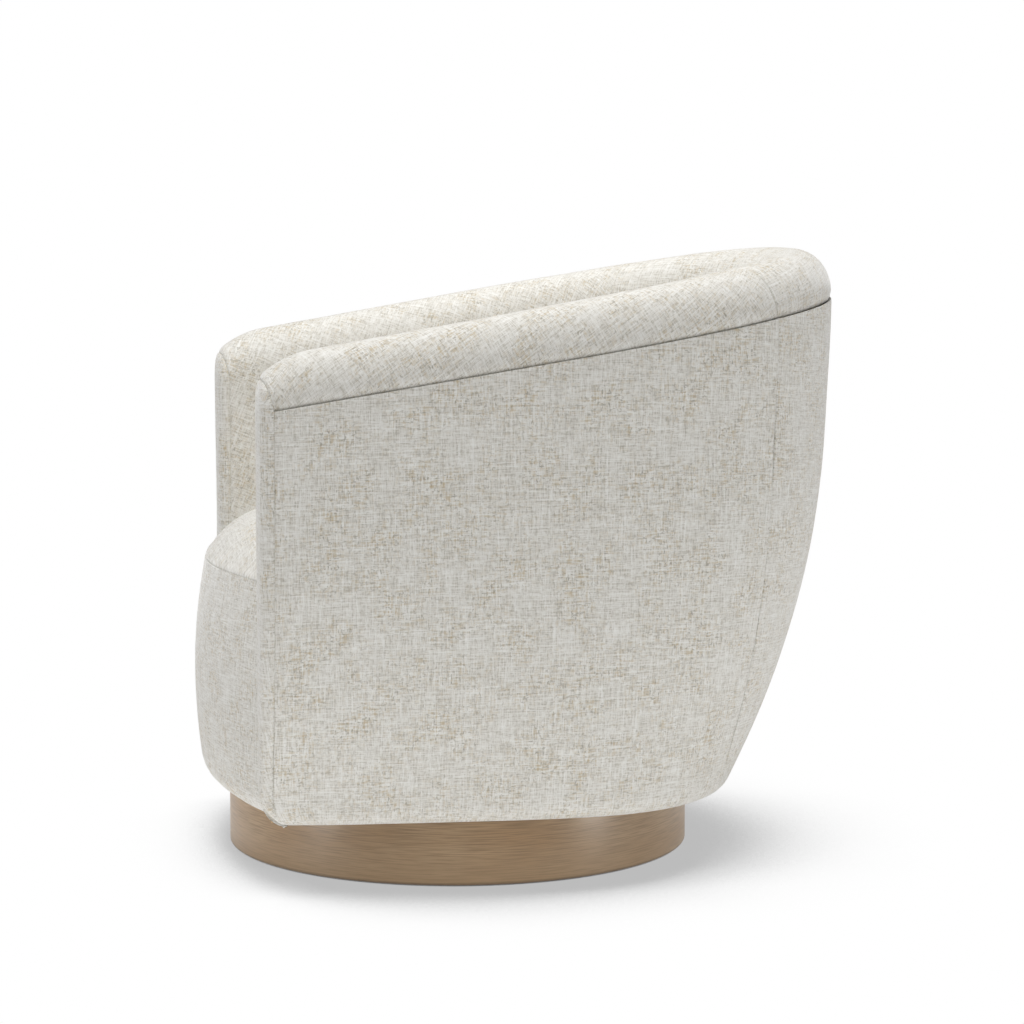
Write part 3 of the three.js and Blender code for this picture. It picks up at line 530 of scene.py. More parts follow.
def end_place(place, out, up, inward, crown, share):
    """Point on an arm's rounded front edge.

    It starts at the section's point [out, up] with share 0 and reaches the front face at 1.
    inward is the section's inward direction there, and crown is 1 at the top of the arm.
    """
    radius = lerp(FACING_ROUND, FACING_CROWN_ROUND, crown)
    fall = ARM_END_RUN / math.sqrt(ARM_END_RADIUS**2 - ARM_END_RUN**2) * crown
    lean = fall * FACING_DEPTH / radius
    start = math.asin(lean / (1 - lean))
    turn = lerp(start, math.pi / 2, share)
    depth = FACING_DEPTH * (math.sin(turn) - math.sin(start)) / (1 - math.sin(start))
    inset = radius * (1 - math.cos(turn) / math.cos(start))
    low = min(max((SHELL_BOTTOM + FACING_FOOT_RISE - up) / FACING_FOOT_RISE, 0), 1)
    depth *= lerp(FACING_FOOT_SHARE, 1, math.sqrt(1 - low**2))
    x = place[0] + place[2] * (out + inward[0] * inset)
    return x, place[1] - depth + foot_back(up), up + inward[1] * inset


def foot_back(up):
    """How far back the seam between an arm's side and its front curves, near its foot."""
    low = np.clip((SHELL_BOTTOM + FACING_FOOT_RISE - up) / FACING_FOOT_RISE, 0, 1)
    return FOOT_SEAM_RUN * (1 - np.sqrt(1 - low**2))


def mitre_share(crown):
    """How far round the front edge the top's cloth reaches before its seam with the facing."""
    return MITRE_SHARE * crown**MITRE_POWER


def section_normals(line):
    """Unit directions to the right of a line of [out, up] points, at each of them."""
    slope = np.gradient(line, axis=0)
    normals = np.stack([slope[:, 1], -slope[:, 0]], axis=1)
    return normals / np.linalg.norm(normals, axis=1)[:, None]


def crown_share(place, line):
    """0 at and below the outer seam, and 1 at the top of the arm, for [out, up] points."""
    seam = seam_at(place)
    return np.clip((line[:, 1] - seam) / (crown_at(place) - seam), 0, 1)


def mitred(points, cloth, side):
    """The grid of an arm's top, carried on round the front edge to its seam with the facing."""
    place = wall_place(side)
    section = along_line(inside_cloth_line(place), cloth[-1, :, 1] - cloth[-1, 0, 1])
    inward = -section_normals(section)
    crown = crown_share(place, section)
    extra = np.zeros((MITRE_STEPS, len(section), 3))
    cloth_extra = np.zeros_like(extra)
    for i in range(MITRE_STEPS):
        for j, (out, up) in enumerate(section):
            share = mitre_share(crown[j]) * (i + 1) / MITRE_STEPS
            extra[i, j] = end_place(place, out, up, inward[j], crown[j], share)
    steps = np.linalg.norm(np.diff(np.concatenate([points[-1:], extra]), axis=0), axis=2)
    cloth_extra[:, :, 0] = cloth[-1, :, 0] + np.cumsum(steps, axis=0)
    cloth_extra[:, :, 1] = cloth[-1, :, 1]
    return np.concatenate([points, extra]), np.concatenate([cloth, cloth_extra])


def facing_sides():
    """Points [out, up] up both sides of an arm's front, in pairs of one height."""
    place = wall_place(1)
    outer = outside_line(place)[:-1][::-1]
    seam = seam_at(place)
    outer_places = np.linspace(0, line_lengths(outer)[-1], FACING_ROWS)
    outer = along_line(outer, outer_places)
    inner = np.stack([np.full(FACING_ROWS, -WALL_HALF), outer[:, 1]], axis=1)
    cap = cap_line(place)
    lengths = line_lengths(cap)
    cap_places = np.linspace(0, lengths[-1], 2 * FACING_CAP_ROWS + 1)
    cap = along_line(cap, cap_places)
    outer = np.concatenate([outer, cap[1 : FACING_CAP_ROWS + 1]])
    inner = np.concatenate([inner, cap[::-1][1 : FACING_CAP_ROWS + 1]])
    return outer, inner


# Panels of cloth


def grid_faces(rows, columns):
    """Quads over a grid of points that is numbered row by row."""
    first = np.arange(rows - 1)[:, None] * columns + np.arange(columns - 1)[None, :]
    quads = np.stack([first, first + 1, first + columns + 1, first + columns], axis=-1)
    return quads.reshape(-1, 4)


def ring_faces(rows, columns):
    """Quads over a grid of points whose last row joins its first one."""
    number = np.arange(rows * columns).reshape(rows, columns)
    following = np.roll(number, -1, axis=0)
    quads = np.stack([number[:, :-1], number[:, 1:], following[:, 1:], following[:, :-1]], axis=-1)
    return quads.reshape(-1, 4)


def groove_at(distance, groove):
    """How far the cloth stands out, at a distance from a seam with such a groove: 0 or less."""
    depth, reach = groove
    return -depth * (1 - np.minimum(distance / reach, 1)) ** 2


def seams_of(cloth, grooves):
    """Distance of each point of a grid from its nearest seam, and how far it stands out there.

    grooves are those of the first column, last column, first row and last row.
    """
    along = cloth[:, :, 0]
    down = cloth[:, :, 1]
    distances = [
        along - along[:1],
        along[-1:] - along,
        down - down[:, :1],
        down[:, -1:] - down,
    ]
    seams = np.stack([np.full(along.shape, FAR), np.zeros(along.shape)], axis=-1)
    for distance, groove in zip(distances, grooves):
        if groove is not OPEN_EDGE:
            seams = np.minimum(seams, np.stack([distance, groove_at(distance, groove)], axis=-1))
    return seams


def merged(points, faces, cloth, seams):
    """The mesh with points in one place made one, and faces without area dropped."""
    keys = np.round(points / MERGE_DISTANCE).astype(np.int64)
    _, first, place = np.unique(keys, axis=0, return_index=True, return_inverse=True)
    place = place.ravel()
    nearest = np.full((len(first), seams.shape[1]), FAR)
    np.minimum.at(nearest, place, seams)
    kept = []
    for face in place[faces]:
        corners = [v for i, v in enumerate(face) if v != face[i - 1]]
        if len(corners) > 2:
            kept.append(corners)
    return points[first], kept, cloth[first], nearest


def face_normals(points, faces):
    """Each face's normal, as long as twice its area."""
    corners = np.array([[face[0], face[1], face[2], face[-1]] for face in faces])
    a, b, c, d = (points[corners[:, k]] for k in range(4))
    return np.cross(c - a, d - b)


def vertex_normals(points, faces):
    normals = np.zeros_like(points)
    across = face_normals(points, faces)
    for face, normal in zip(faces, across):
        for v in face:
            normals[v] += normal
    lengths = np.maximum(np.linalg.norm(normals, axis=1), SMALLEST_LENGTH)
    return normals / lengths[:, None]


def open_edges(faces):
    """Directed edges that only one face has."""
    edges = {(face[i - 1], face[i]) for face in faces for i in range(len(face))}
    return [edge for edge in edges if (edge[1], edge[0]) not in edges]


def relief(points, seams, seed):
    """How far each point stands out: broad unevenness, small puckers at a seam, and its groove."""
    height = np.zeros(len(points))
    shift = Vector((seed * NOISE_SHIFT, 0, 0))
    for i, point in enumerate(points):
        place = Vector(point)
        fade = max(1 - seams[i, 0] / PUCKER_REACH, 0) ** 2
        height[i] = SWELL_HEIGHT * noise.noise(place / SWELL_LENGTH + shift)
        height[i] += PUCKER_HEIGHT * fade * noise.noise(place / PUCKER_LENGTH + shift)
    return height + seams[:, 1]


def hemmed(points, faces, cloth, seams):
    """The mesh with the cloth turned in behind each sewn edge."""
    normals = vertex_normals(points, faces)
    border = [(a, b) for a, b in open_edges(faces) if seams[[a, b], 0].max() < MERGE_DISTANCE]
    turned = {v: len(points) + i for i, v in enumerate(sorted({v for e in border for v in e}))}
    source = list(turned)
    added = points[source] - normals[source] * HEM
    faces = faces + [[a, turned[a], turned[b], b] for a, b in border]
    # The turned-in hem gets a deeper third value, so the fabric paints it with more crease shade.
    cloth_added = cloth[source] + [0, 0, HEM]
    return np.concatenate([points, added]), faces, np.concatenate([cloth, cloth_added])


def thickened(points, faces, cloth):
    """A closed mesh: the open one, a copy behind it, and a strip round its edges."""
    count = len(points)
    behind = points - vertex_normals(points, faces) * CLOTH_THICKNESS
    back = [[v + count for v in reversed(face)] for face in faces]
    rim = [[a, a + count, b + count, b] for a, b in open_edges(faces)]
    return np.concatenate([points, behind]), faces + back + rim, np.concatenate([cloth, cloth])


def new_mesh(name, points, faces, material, cloth=None):
    """Smooth mesh object in the chair's place, from points in chair space."""
    mesh = bpy.data.meshes.new(name)
    moved = points + np.array([0, AXIS_Y, 0])
    mesh.from_pydata(moved.tolist(), [], [[int(v) for v in face] for face in faces])
    mesh.polygons.foreach_set("use_smooth", [True] * len(mesh.polygons))
    if cloth is not None:
        attribute = mesh.attributes.new("grain", "FLOAT_VECTOR", "POINT")
        attribute.data.foreach_set("vector", cloth.astype(np.float32).ravel())
    mesh.materials.append(material)
    piece = bpy.data.objects.new(name, mesh)
    bpy.context.scene.collection.objects.link(piece)
    return piece


def turned_out(points, faces, direction):
    """The faces, turned so that on the whole they look in a direction."""
    if face_normals(points, faces).sum(axis=0) @ direction < 0:
        return [face[::-1] for face in faces]
    return faces


def filled(points, faces, seams):
    """The sheet blown out by the padding behind it: a cloth simulation held at the seams."""
    mesh = bpy.data.meshes.new("filling")
    mesh.from_pydata(points.tolist(), [], [[int(v) for v in face] for face in faces])
    piece = bpy.data.objects.new("filling", mesh)
    bpy.context.scene.collection.objects.link(piece)
    held = piece.vertex_groups.new(name="held")
    for v, distance in enumerate(seams[:, 0]):
        hold = 1 - min(distance / HOLD_REACH, 1)
        if hold > 0:
            held.add([v], hold, "REPLACE")
    modifier = piece.modifiers.new("cloth", "CLOTH")
    modifier.settings.vertex_group_mass = "held"
    modifier.settings.quality = CLOTH_QUALITY
    modifier.settings.mass = CLOTH_MASS
    modifier.settings.tension_stiffness = CLOTH_STIFFNESS
    modifier.settings.compression_stiffness = CLOTH_STIFFNESS
    modifier.settings.use_pressure = True
    modifier.settings.uniform_pressure_force = CLOTH_PRESSURE
    modifier.settings.effector_weights.gravity = 0
    modifier.collision_settings.use_collision = False
    modifier.collision_settings.use_self_collision = False
    modifier.point_cache.frame_end = CLOTH_FRAMES
    for step in range(1, CLOTH_FRAMES + 1):
        bpy.context.scene.frame_set(step)
    blown = piece.evaluated_get(bpy.context.evaluated_depsgraph_get()).data
    places = np.zeros(len(points) * 3)
    blown.vertices.foreach_get("co", places)
    move = places.reshape(-1, 3) - points
    bpy.data.objects.remove(piece)
    bpy.context.scene.frame_set(1)
    normals = vertex_normals(points, faces)
    rise = (move * normals).sum(axis=1)
    return points + normals * (FILL_LIMIT * np.tanh(rise / FILL_LIMIT))[:, None]


def cloth_piece(name, points, faces, cloth, seams, direction):
    """Sewn panel: its filling, relief, turned-in edges and thickness, riding on the seat shell."""
    seed = list(PANELS).index(name)
    points, faces, cloth, seams = merged(flat(points), faces, flat(cloth), flat(seams))
    seams[:, 1] *= smooth((points[:, 2] - SHELL_BOTTOM) / GROOVE_FADE_RISE)
    # The cloth's third value carries the groove depth, which the fabric turns into painted shade.
    cloth[:, 2] = -seams[:, 1]
    faces = turned_out(points, faces, direction)
    if name in FILLED_PANELS:
        points = filled(points, faces, seams)
    normals = vertex_normals(points, faces)
    points = points + normals * relief(points, seams, seed)[:, None]
    points, faces, cloth = hemmed(points, faces, cloth, seams)
    points, faces, cloth = thickened(points, faces, cloth)
    cloth = cloth + [seed * CLOTH_SHIFT, seed * CLOTH_SHIFT, 0]
    piece = new_mesh(name, points, faces, materials["fabric"], cloth)
    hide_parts(*PANELS[name])
    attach(piece, "seat_shell")
    return piece


# The chair's covers


def grain_turned(cloth, angle):
    """The cloth's places, with its threads turned by an angle."""
    along = cloth[:, :, 0] * math.cos(angle) - cloth[:, :, 1] * math.sin(angle)
    down = cloth[:, :, 0] * math.sin(angle) + cloth[:, :, 1] * math.cos(angle)
    return np.stack([along, down, cloth[:, :, 2]], axis=-1)


def grid_piece(name, points, cloth, grooves, direction, grain_turn=0):
    """Sewn panel over a grid of points, with the grooves of its four edges."""
    seams = seams_of(cloth, grooves)
    cloth = grain_turned(cloth, grain_turn)
    cloth_piece(name, points, grid_faces(*points.shape[:2]), cloth, seams, direction)


def build_outside_arm(name, side):
    points, cloth = wall_grid(side, side * JOINT_SHARE, outside_cloth_line)
    nearness = smooth(1 - cloth[:, :, 0] / FOOT_SEAM_REACH)
    points[:, :, 1] += foot_back(points[:, :, 2]) * nearness
    grooves = (FACING_GROOVE, JOINT_GROOVE, PANEL_GROOVE, OPEN_EDGE)
    grid_piece(name, points, cloth, grooves, np.array([side, 0, 0]))


def build_outside_back(name):
    points, cloth = wall_grid(JOINT_SHARE, -JOINT_SHARE, outside_cloth_line)
    grooves = (JOINT_GROOVE, JOINT_GROOVE, PANEL_GROOVE, OPEN_EDGE)
    grid_piece(name, points, cloth, grooves, BACK)


def build_arm_top(name, side):
    slants = (side * JOINT_SLANT, 0)
    points, cloth = wall_grid(side * JOINT_SHARE, side, inside_cloth_line, slants)
    points, cloth = mitred(points, cloth, side)
    grooves = (TOP_JOINT_GROOVE, FACING_GROOVE, TOP_GROOVE, OPEN_EDGE)
    grid_piece(name, points, cloth, grooves, UP, TOP_GRAIN_TURN)


def build_back_top(name):
    slants = (JOINT_SLANT, -JOINT_SLANT)
    points, cloth = wall_grid(JOINT_SHARE, -JOINT_SHARE, inside_cloth_line, slants)
    grooves = (TOP_JOINT_GROOVE, TOP_JOINT_GROOVE, TOP_GROOVE, OPEN_EDGE)
    grid_piece(name, points, cloth, grooves, UP)


def facing_ring(side):
    """Grid round the edge of an arm's front: up the outer side, over, and down the inner side."""
    place = wall_place(side)
    outer, inner = facing_sides()
    path = np.concatenate([outer, inner[-2::-1]])
    inward = -section_normals(path)
    crown = crown_share(place, path)
    ring = np.zeros((len(path), len(FACING_RING_SHARES), 3))
    for i, (out, up) in enumerate(path):
        for k, share in enumerate(FACING_RING_SHARES):
            turn = lerp(mitre_share(crown[i]), 1, share)
            ring[i, k] = end_place(place, out, up, inward[i], crown[i], turn)
    return ring, path


def build_facing(name, side):
    """Padded front of an arm: a rounded edge, and rows across between its two sides."""
    ring, path = facing_ring(side)
    count, rings = ring.shape[:2]
    rows = (count + 1) // 2
    steps = np.linalg.norm(np.diff(ring, axis=1), axis=2)
    distance = np.concatenate([np.zeros((count, 1)), np.cumsum(steps, axis=1)], axis=1)
    outward = section_normals(path) * [side, 1]
    inner_end = ring[:, -1][:, [0, 2]]
    unrolled = inner_end[:, None] + outward[:, None] * (distance[:, -1:] - distance)[:, :, None]
    points = [flat(ring)]
    cloth = [flat(unrolled)]
    faces = [grid_faces(count, rings)]
    number = np.arange(count * rings).reshape(count, rings)[:, -1]
    rungs = []
    total = count * rings
    for i in range(rows - 1):
        left = ring[i, -1]
        right = ring[count - 1 - i, -1]
        across = np.arange(1, FACING_COLUMNS + 1) / (FACING_COLUMNS + 1)
        rung = lerp(left, right, across[:, None])
        cloth.append(rung[:, [0, 2]])
        width = np.linalg.norm(right - left) / (2 * WALL_HALF)
        rung[:, 1] -= PILLOW_HEIGHT * width * (1 - (2 * across - 1) ** 2)
        points.append(rung)
        inner = list(range(total, total + FACING_COLUMNS))
        rungs.append([number[i], *inner, number[count - 1 - i]])
        total += FACING_COLUMNS
    rungs.append([number[rows - 1]] * (FACING_COLUMNS + 2))
    rungs = np.array(rungs)
    quads = np.stack([rungs[:-1, :-1], rungs[:-1, 1:], rungs[1:, 1:], rungs[1:, :-1]], axis=-1)
    faces.append(quads.reshape(-1, 4))
    points = np.concatenate(points)
    seams = np.stack([np.full(len(points), FAR), np.zeros(len(points))], axis=1)
    seams[: count * rings, 0] = distance.ravel()
    seams[: count * rings, 1] = groove_at(distance.ravel(), FACING_GROOVE)
    cloth = np.concatenate([np.concatenate(cloth), np.zeros((len(points), 1))], axis=1)
    cloth_piece(name, points, np.concatenate(faces), cloth, seams, -BACK)


def front_out(x, up):
    """How far the seat's front face is from the swivel axis."""
    share = (up - SHELL_BOTTOM) / (SEAT_SEAM_HEIGHT - SHELL_BOTTOM)
    bow = lerp(FRONT_FOOT_BOW, FRONT_SEAM_BOW, share)
    belly = FRONT_BELLY * (1 - ((up - FRONT_BELLY_HEIGHT) / FRONT_BELLY_RUN) ** 2)
    return FRONT_REACH + belly - x**2 / (2 * bow)


def build_seat_front(name):
    places = spaced(2 * SEAT_HALF_WIDTH, GRID_STEP)
    line = rolled_line(lambda up: front_out(0, up), SEAT_SEAM_HEIGHT)
    downs = spaced(line_lengths(line)[-1], GRID_STEP)
    points = np.zeros((len(places), len(downs), 3))
    cloth = np.zeros_like(points)
    for i, place in enumerate(places):
        x = place - SEAT_HALF_WIDTH
        line = rolled_line(lambda up: front_out(x, up), SEAT_SEAM_HEIGHT)
        section = along_line(line, downs / downs[-1] * line_lengths(line)[-1])
        points[i] = np.stack([np.full(len(downs), x), -section[:, 0], section[:, 1]], axis=1)
        cloth[i, :, 0] = place
        cloth[i, :, 1] = downs
    grooves = (FRONT_SIDE_GROOVE, FRONT_SIDE_GROOVE, SEAT_GROOVE, OPEN_EDGE)
    grid_piece(name, points, cloth, grooves, -BACK)


def round_outline(half_width, front_at, out_at):
    """Points [x, y] round a shape between the arms: a bowed front, then round the barrel wall.

    front_at gives the front's reach at a place across, and out_at the distance from the wall's
    middle line at a place along the wall.
    """
    across = np.linspace(-half_width, half_width, OUTLINE_STEPS)
    front = np.array([[x, -front_at(x)] for x in across])
    run = (CURVE_START_Y - front[0, 1]) / (CURVE_START_Y - ARM_FRONT_Y)
    start = lerp(CURVE_SHARE, 1, run)
    shares, lengths = wall_lengths(start, 0)
    shares = np.interp(np.linspace(0, lengths[-1], OUTLINE_STEPS), lengths, shares)
    side = []
    for place in map(wall_place, shares):
        out = out_at(place)
        side.append([place[0] + place[2] * out, place[1] + place[3] * out])
    side = np.array(side)
    mirrored = side[-2:0:-1] * [-1, 1]
    return np.concatenate([front, side[1:], mirrored])


def seat_outline():
    return round_outline(
        SEAT_HALF_WIDTH,
        lambda x: front_out(x, SEAT_SEAM_HEIGHT),
        lambda place: inside_out(place, TUCK_HEIGHT) - FIT,
    )


def crown_line(reach):
    """Points [reach, height] over the seat from an edge to the middle, by distance."""
    share = 1 - np.linspace(0, 1, SECTION_STEPS) ** 2
    lift = np.maximum(1 - share**DOME_EDGE_POWER, 0) ** (1 / DOME_ROLL_POWER)
    return np.stack([reach * share, SEAT_SEAM_HEIGHT + SEAT_RISE * lift], axis=1)


def build_seat_crown(name):
    outline = seat_outline()
    reaches = np.linalg.norm(outline, axis=1)
    middle = line_lengths(crown_line(reaches.mean()))[-1]
    places = spaced(middle, CROWN_STEP)
    places = places[places < middle - EDGE_PLACES[-1]]
    points = np.zeros((len(outline), len(places), 3))
    distance = np.zeros(points.shape[:2])
    for i, (x, y) in enumerate(outline):
        line = crown_line(reaches[i])
        distance[i] = places * line_lengths(line)[-1] / middle
        section = along_line(line, distance[i])
        points[i, :, 0] = x / reaches[i] * section[:, 0]
        points[i, :, 1] = y / reaches[i] * section[:, 0]
        points[i, :, 2] = section[:, 1]
    count, rings = points.shape[:2]
    centre = count * rings
    innermost = np.arange(rings - 1, centre, rings)
    fan = [[a, centre, centre, b] for a, b in zip(innermost, np.roll(innermost, -1))]
    faces = np.concatenate([ring_faces(count, rings), fan])
    points = np.concatenate([flat(points), [[0, 0, SEAT_TOP]]])
    seams = np.stack([distance.ravel(), groove_at(distance.ravel(), SEAT_GROOVE)], axis=1)
    seams = np.concatenate([seams, [[FAR, 0]]])
    cloth_piece(name, points, faces, points * [1, 1, 0], seams, UP)


def build_covers():
    for side, word in ((1, "left"), (-1, "right")):
        build_outside_arm(f"outside_arm_{word}", side)
        build_arm_top(f"arm_top_{word}", side)
        build_facing(f"arm_front_{word}", side)
    build_outside_back("outside_back")
    build_back_top("back_top")
    build_seat_front("seat_front")
    build_seat_crown("seat_crown")


def build_dust_cloth():
    """Black cloth stapled under the bottom board, with a square cut out round the swivel."""
    low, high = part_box("dust_cover")
    plate_low, plate_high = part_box("swivel_upper_plate")
    inset = BOTTOM_TUCK + 2 * FIT
    outer = round_outline(
        high.x,
        lambda x: roll_of(lambda up: front_out(x, up))[2] - inset,
        lambda place: roll_of(lambda up: outside_out(place, up))[2] - inset,
    )
    hole = (plate_high.x - plate_low.x) / 2 + FIT
    inner = outer * hole / np.abs(outer).max(axis=1)[:, None]
    shares = np.linspace(0, 1, DUST_RINGS)
    points = np.zeros((len(outer), DUST_RINGS, 3))
    points[:, :, :2] = lerp(outer[:, None], inner[:, None], shares[None, :, None])
    points[:, :, 2] = high.z - DUST_SAG * np.sin(shares * math.pi)
    rim = np.abs(outer) / np.abs(outer).max(axis=0)
    points[:, :, 2] -= DUST_SAG * rim.min(axis=1)[:, None] * np.sin(shares * math.pi)
    points = flat(points)
    no_seams = np.zeros((len(points), 1))
    faces = ring_faces(len(outer), DUST_RINGS)
    points, faces, cloth, _ = merged(points, faces, points, no_seams)
    faces = turned_out(points, faces, -UP)
    points, faces, cloth = thickened(points, faces, cloth)
    piece = new_mesh("dust_cloth", points, faces, materials["dust_cloth"], cloth)
    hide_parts("dust_cover")
    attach(piece, "seat_shell")


# Plinth


def plinth_profile():
    """Points [reach, height] round the plinth wall's section, from its inner foot."""
    foot = arc(
        PLINTH_RADIUS - PLINTH_FOOT_ROUND,
        ring_low.z + PLINTH_FOOT_ROUND,
        PLINTH_FOOT_ROUND,
        -math.pi / 2,
        0,
        PLINTH_FOOT_STEPS,
    )
    lip = arc(
        PLINTH_RADIUS - PLINTH_TOP_ROUND,
        ring_high.z - PLINTH_TOP_ROUND,
        PLINTH_TOP_ROUND,
        0,
        math.pi / 2,
        PLINTH_TOP_STEPS,
    )
    inner = PLINTH_RADIUS - PLINTH_WALL
    return np.concatenate([[[inner, ring_low.z]], foot, lip, [[inner, ring_high.z]]])


def build_plinth():
    profile = plinth_profile()
    downs = line_lengths(profile)
    count = len(profile)
    step_angle = 2 * math.pi / PLINTH_SIDES
    angles = np.arange(PLINTH_SIDES) * step_angle
    points = np.zeros((PLINTH_SIDES, count, 3))
    points[:, :, 0] = -np.sin(angles)[:, None] * profile[:, 0]
    points[:, :, 1] = np.cos(angles)[:, None] * profile[:, 0]
    points[:, :, 2] = profile[:, 1]
    faces = []
    grain = []
    for i in range(PLINTH_SIDES):
        for j in range(count):
            beside = (j + 1) % count
            corners = ((i, j), (i + 1, j), (i + 1, beside), (i, beside))
            faces.append([step % PLINTH_SIDES * count + k for step, k in corners])
            grain += [[step * step_angle * PLINTH_RADIUS, downs[k], 0] for step, k in corners]
    piece = new_mesh("plinth", flat(points), faces, materials["plinth_wood"])
    attribute = piece.data.attributes.new("grain", "FLOAT_VECTOR", "CORNER")
    attribute.data.foreach_set("vector", np.array(grain, np.float32).ravel())
    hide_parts("plinth_ring")
    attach(piece, "base")


# Materials


def node(tree, kind, inputs=None, **settings):
    """Shader node with its settings, and its inputs given as values or as other nodes' outputs."""
    made = tree.nodes.new(kind)
    for name, value in settings.items():
        setattr(made, name, value)
    for name, value in (inputs or {}).items():
        if isinstance(value, bpy.types.NodeSocket):
            tree.links.new(value, made.inputs[name])
        else:
            made.inputs[name].default_value = value
    return made


def new_material(name, roughness):
    """Material with a principled shader of a roughness, its node tree and that shader."""
    material = bpy.data.materials.new(name)
    material.use_nodes = True
    shader = material.node_tree.nodes["Principled BSDF"]
    shader.inputs["Roughness"].default_value = roughness
    return material, material.node_tree, shader


def math_node(tree, operation, first, second):
    return node(tree, "ShaderNodeMath", {0: first, 1: second}, operation=operation).outputs["Value"]


def pattern(tree, place, size, shift, detail):
    """Noise drawn out to a size along each axis; place is in metres, and so is size."""
    inputs = {"Vector": place, "Scale": tuple(1 / length for length in size), "Location": shift}
    moved = node(tree, "ShaderNodeMapping", inputs).outputs["Vector"]
    inputs = {"Vector": moved, "Scale": 1.0, "Detail": detail}
    return node(tree, "ShaderNodeTexNoise", inputs).outputs["Fac"]


def streaks(tree, place, across, down, seed, detail=STREAK_DETAIL):
    """Noise over the cloth or wood, drawn out along the longer of its two sizes."""
    return pattern(tree, place, (across, down, GRAIN_DEPTH), (seed, seed, seed), detail)


def crossed(tree, place, operation, length, width, down_seed, across_seed):
    """Streaks that run down the cloth and streaks that run across it, joined by an operation."""
    down = streaks(tree, place, width, length, down_seed)
    across = streaks(tree, place, length, width, across_seed)
    return math_node(tree, operation, down, across)


def spread(tree, value, low, high, start=0.0, end=1.0):
    """The value, with low to high spread to start to end and cut off beyond them."""
    inputs = {"Value": value, "From Min": low, "From Max": high, "To Min": start, "To Max": end}
    return node(tree, "ShaderNodeMapRange", inputs).outputs["Result"]


def blend_colours(tree, share, first, second):
    made = node(tree, "ShaderNodeMix", {"Factor": share}, data_type="RGBA")
    colours = [socket for socket in made.inputs if socket.type == "RGBA"]
    for socket, colour in zip(colours, (first, second)):
        if isinstance(colour, bpy.types.NodeSocket):
            tree.links.new(colour, socket)
        else:
            socket.default_value = colour
    return next(socket for socket in made.outputs if socket.type == "RGBA")


def finish(tree, shader, colour, height, depth):
    """Gives a shader its colour, and a relief as deep as depth from a pattern's height."""
    bump = node(tree, "ShaderNodeBump", {"Height": height, "Distance": depth, "Strength": 1.0})
    tree.links.new(colour, shader.inputs["Base Color"])
    tree.links.new(bump.outputs["Normal"], shader.inputs["Normal"])


def grain_place(tree):
    return node(tree, "ShaderNodeAttribute", attribute_name="grain").outputs["Vector"]


def fabric_material():
    """Woven cloth of pale slubby yarn: light and dark threads both ways, tan patches and flecks."""
    material, tree, shader = new_material("woven_linen", CLOTH_ROUGHNESS)
    shader.inputs["Specular IOR Level"].default_value = CLOTH_SHINE
    shader.inputs["Sheen Weight"].default_value = CLOTH_SHEEN
    shader.inputs["Sheen Roughness"].default_value = CLOTH_SHEEN_ROUGHNESS
    place = grain_place(tree)
    threads = crossed(tree, place, "ADD", *THREADS)
    patches = spread(tree, streaks(tree, place, *PATCHES), *PATCH_SPREAD)
    fibres = spread(tree, crossed(tree, place, "ADD", *FIBRES), *FIBRE_SPREAD)
    tone = math_node(tree, "ADD", threads, patches)
    tone = math_node(tree, "ADD", tone, fibres)
    colour = blend_colours(tree, spread(tree, tone, *LIGHT_SPREAD), CLOTH_COLOUR, CLOTH_LIGHT)
    colour = blend_colours(tree, spread(tree, tone, *DARK_SPREAD), colour, CLOTH_DARK)
    blotch = spread(tree, streaks(tree, place, *BLOTCHES), *BLOTCH_SPREAD)
    tan = spread(tree, crossed(tree, place, "ADD", *TAN_SLUBS), *TAN_SPREAD)
    colour = blend_colours(tree, math_node(tree, "MULTIPLY", blotch, tan), colour, CLOTH_TAN)
    slubs = spread(tree, crossed(tree, place, "MAXIMUM", *PALE_SLUBS), *SLUB_SPREAD)
    colour = blend_colours(tree, slubs, colour, CLOTH_SLUB)
    flecks = spread(tree, crossed(tree, place, "MAXIMUM", *FLECKS), *FLECK_SPREAD)
    in_blotch = spread(tree, blotch, *FLECK_BLOTCH_SPREAD)
    flecks = math_node(tree, "MULTIPLY", flecks, in_blotch)
    colour = blend_colours(tree, flecks, colour, CLOTH_FLECK)
    # Painted shade: the colour darkens with the groove depth that the cloth's third value carries,
    # most in a seam's crease and on the turned-in hem.
    depth = node(tree, "ShaderNodeSeparateXYZ", {"Vector": place}).outputs["Z"]
    crease_shade = spread(tree, depth, 0, CREASE_SHADE_DEPTH, 0, CREASE_SHADE_SHARE)
    colour = blend_colours(tree, crease_shade, colour, CLOTH_CREASE_SHADE)
    finish(tree, shader, colour, threads, THREAD_HEIGHT)
    return material


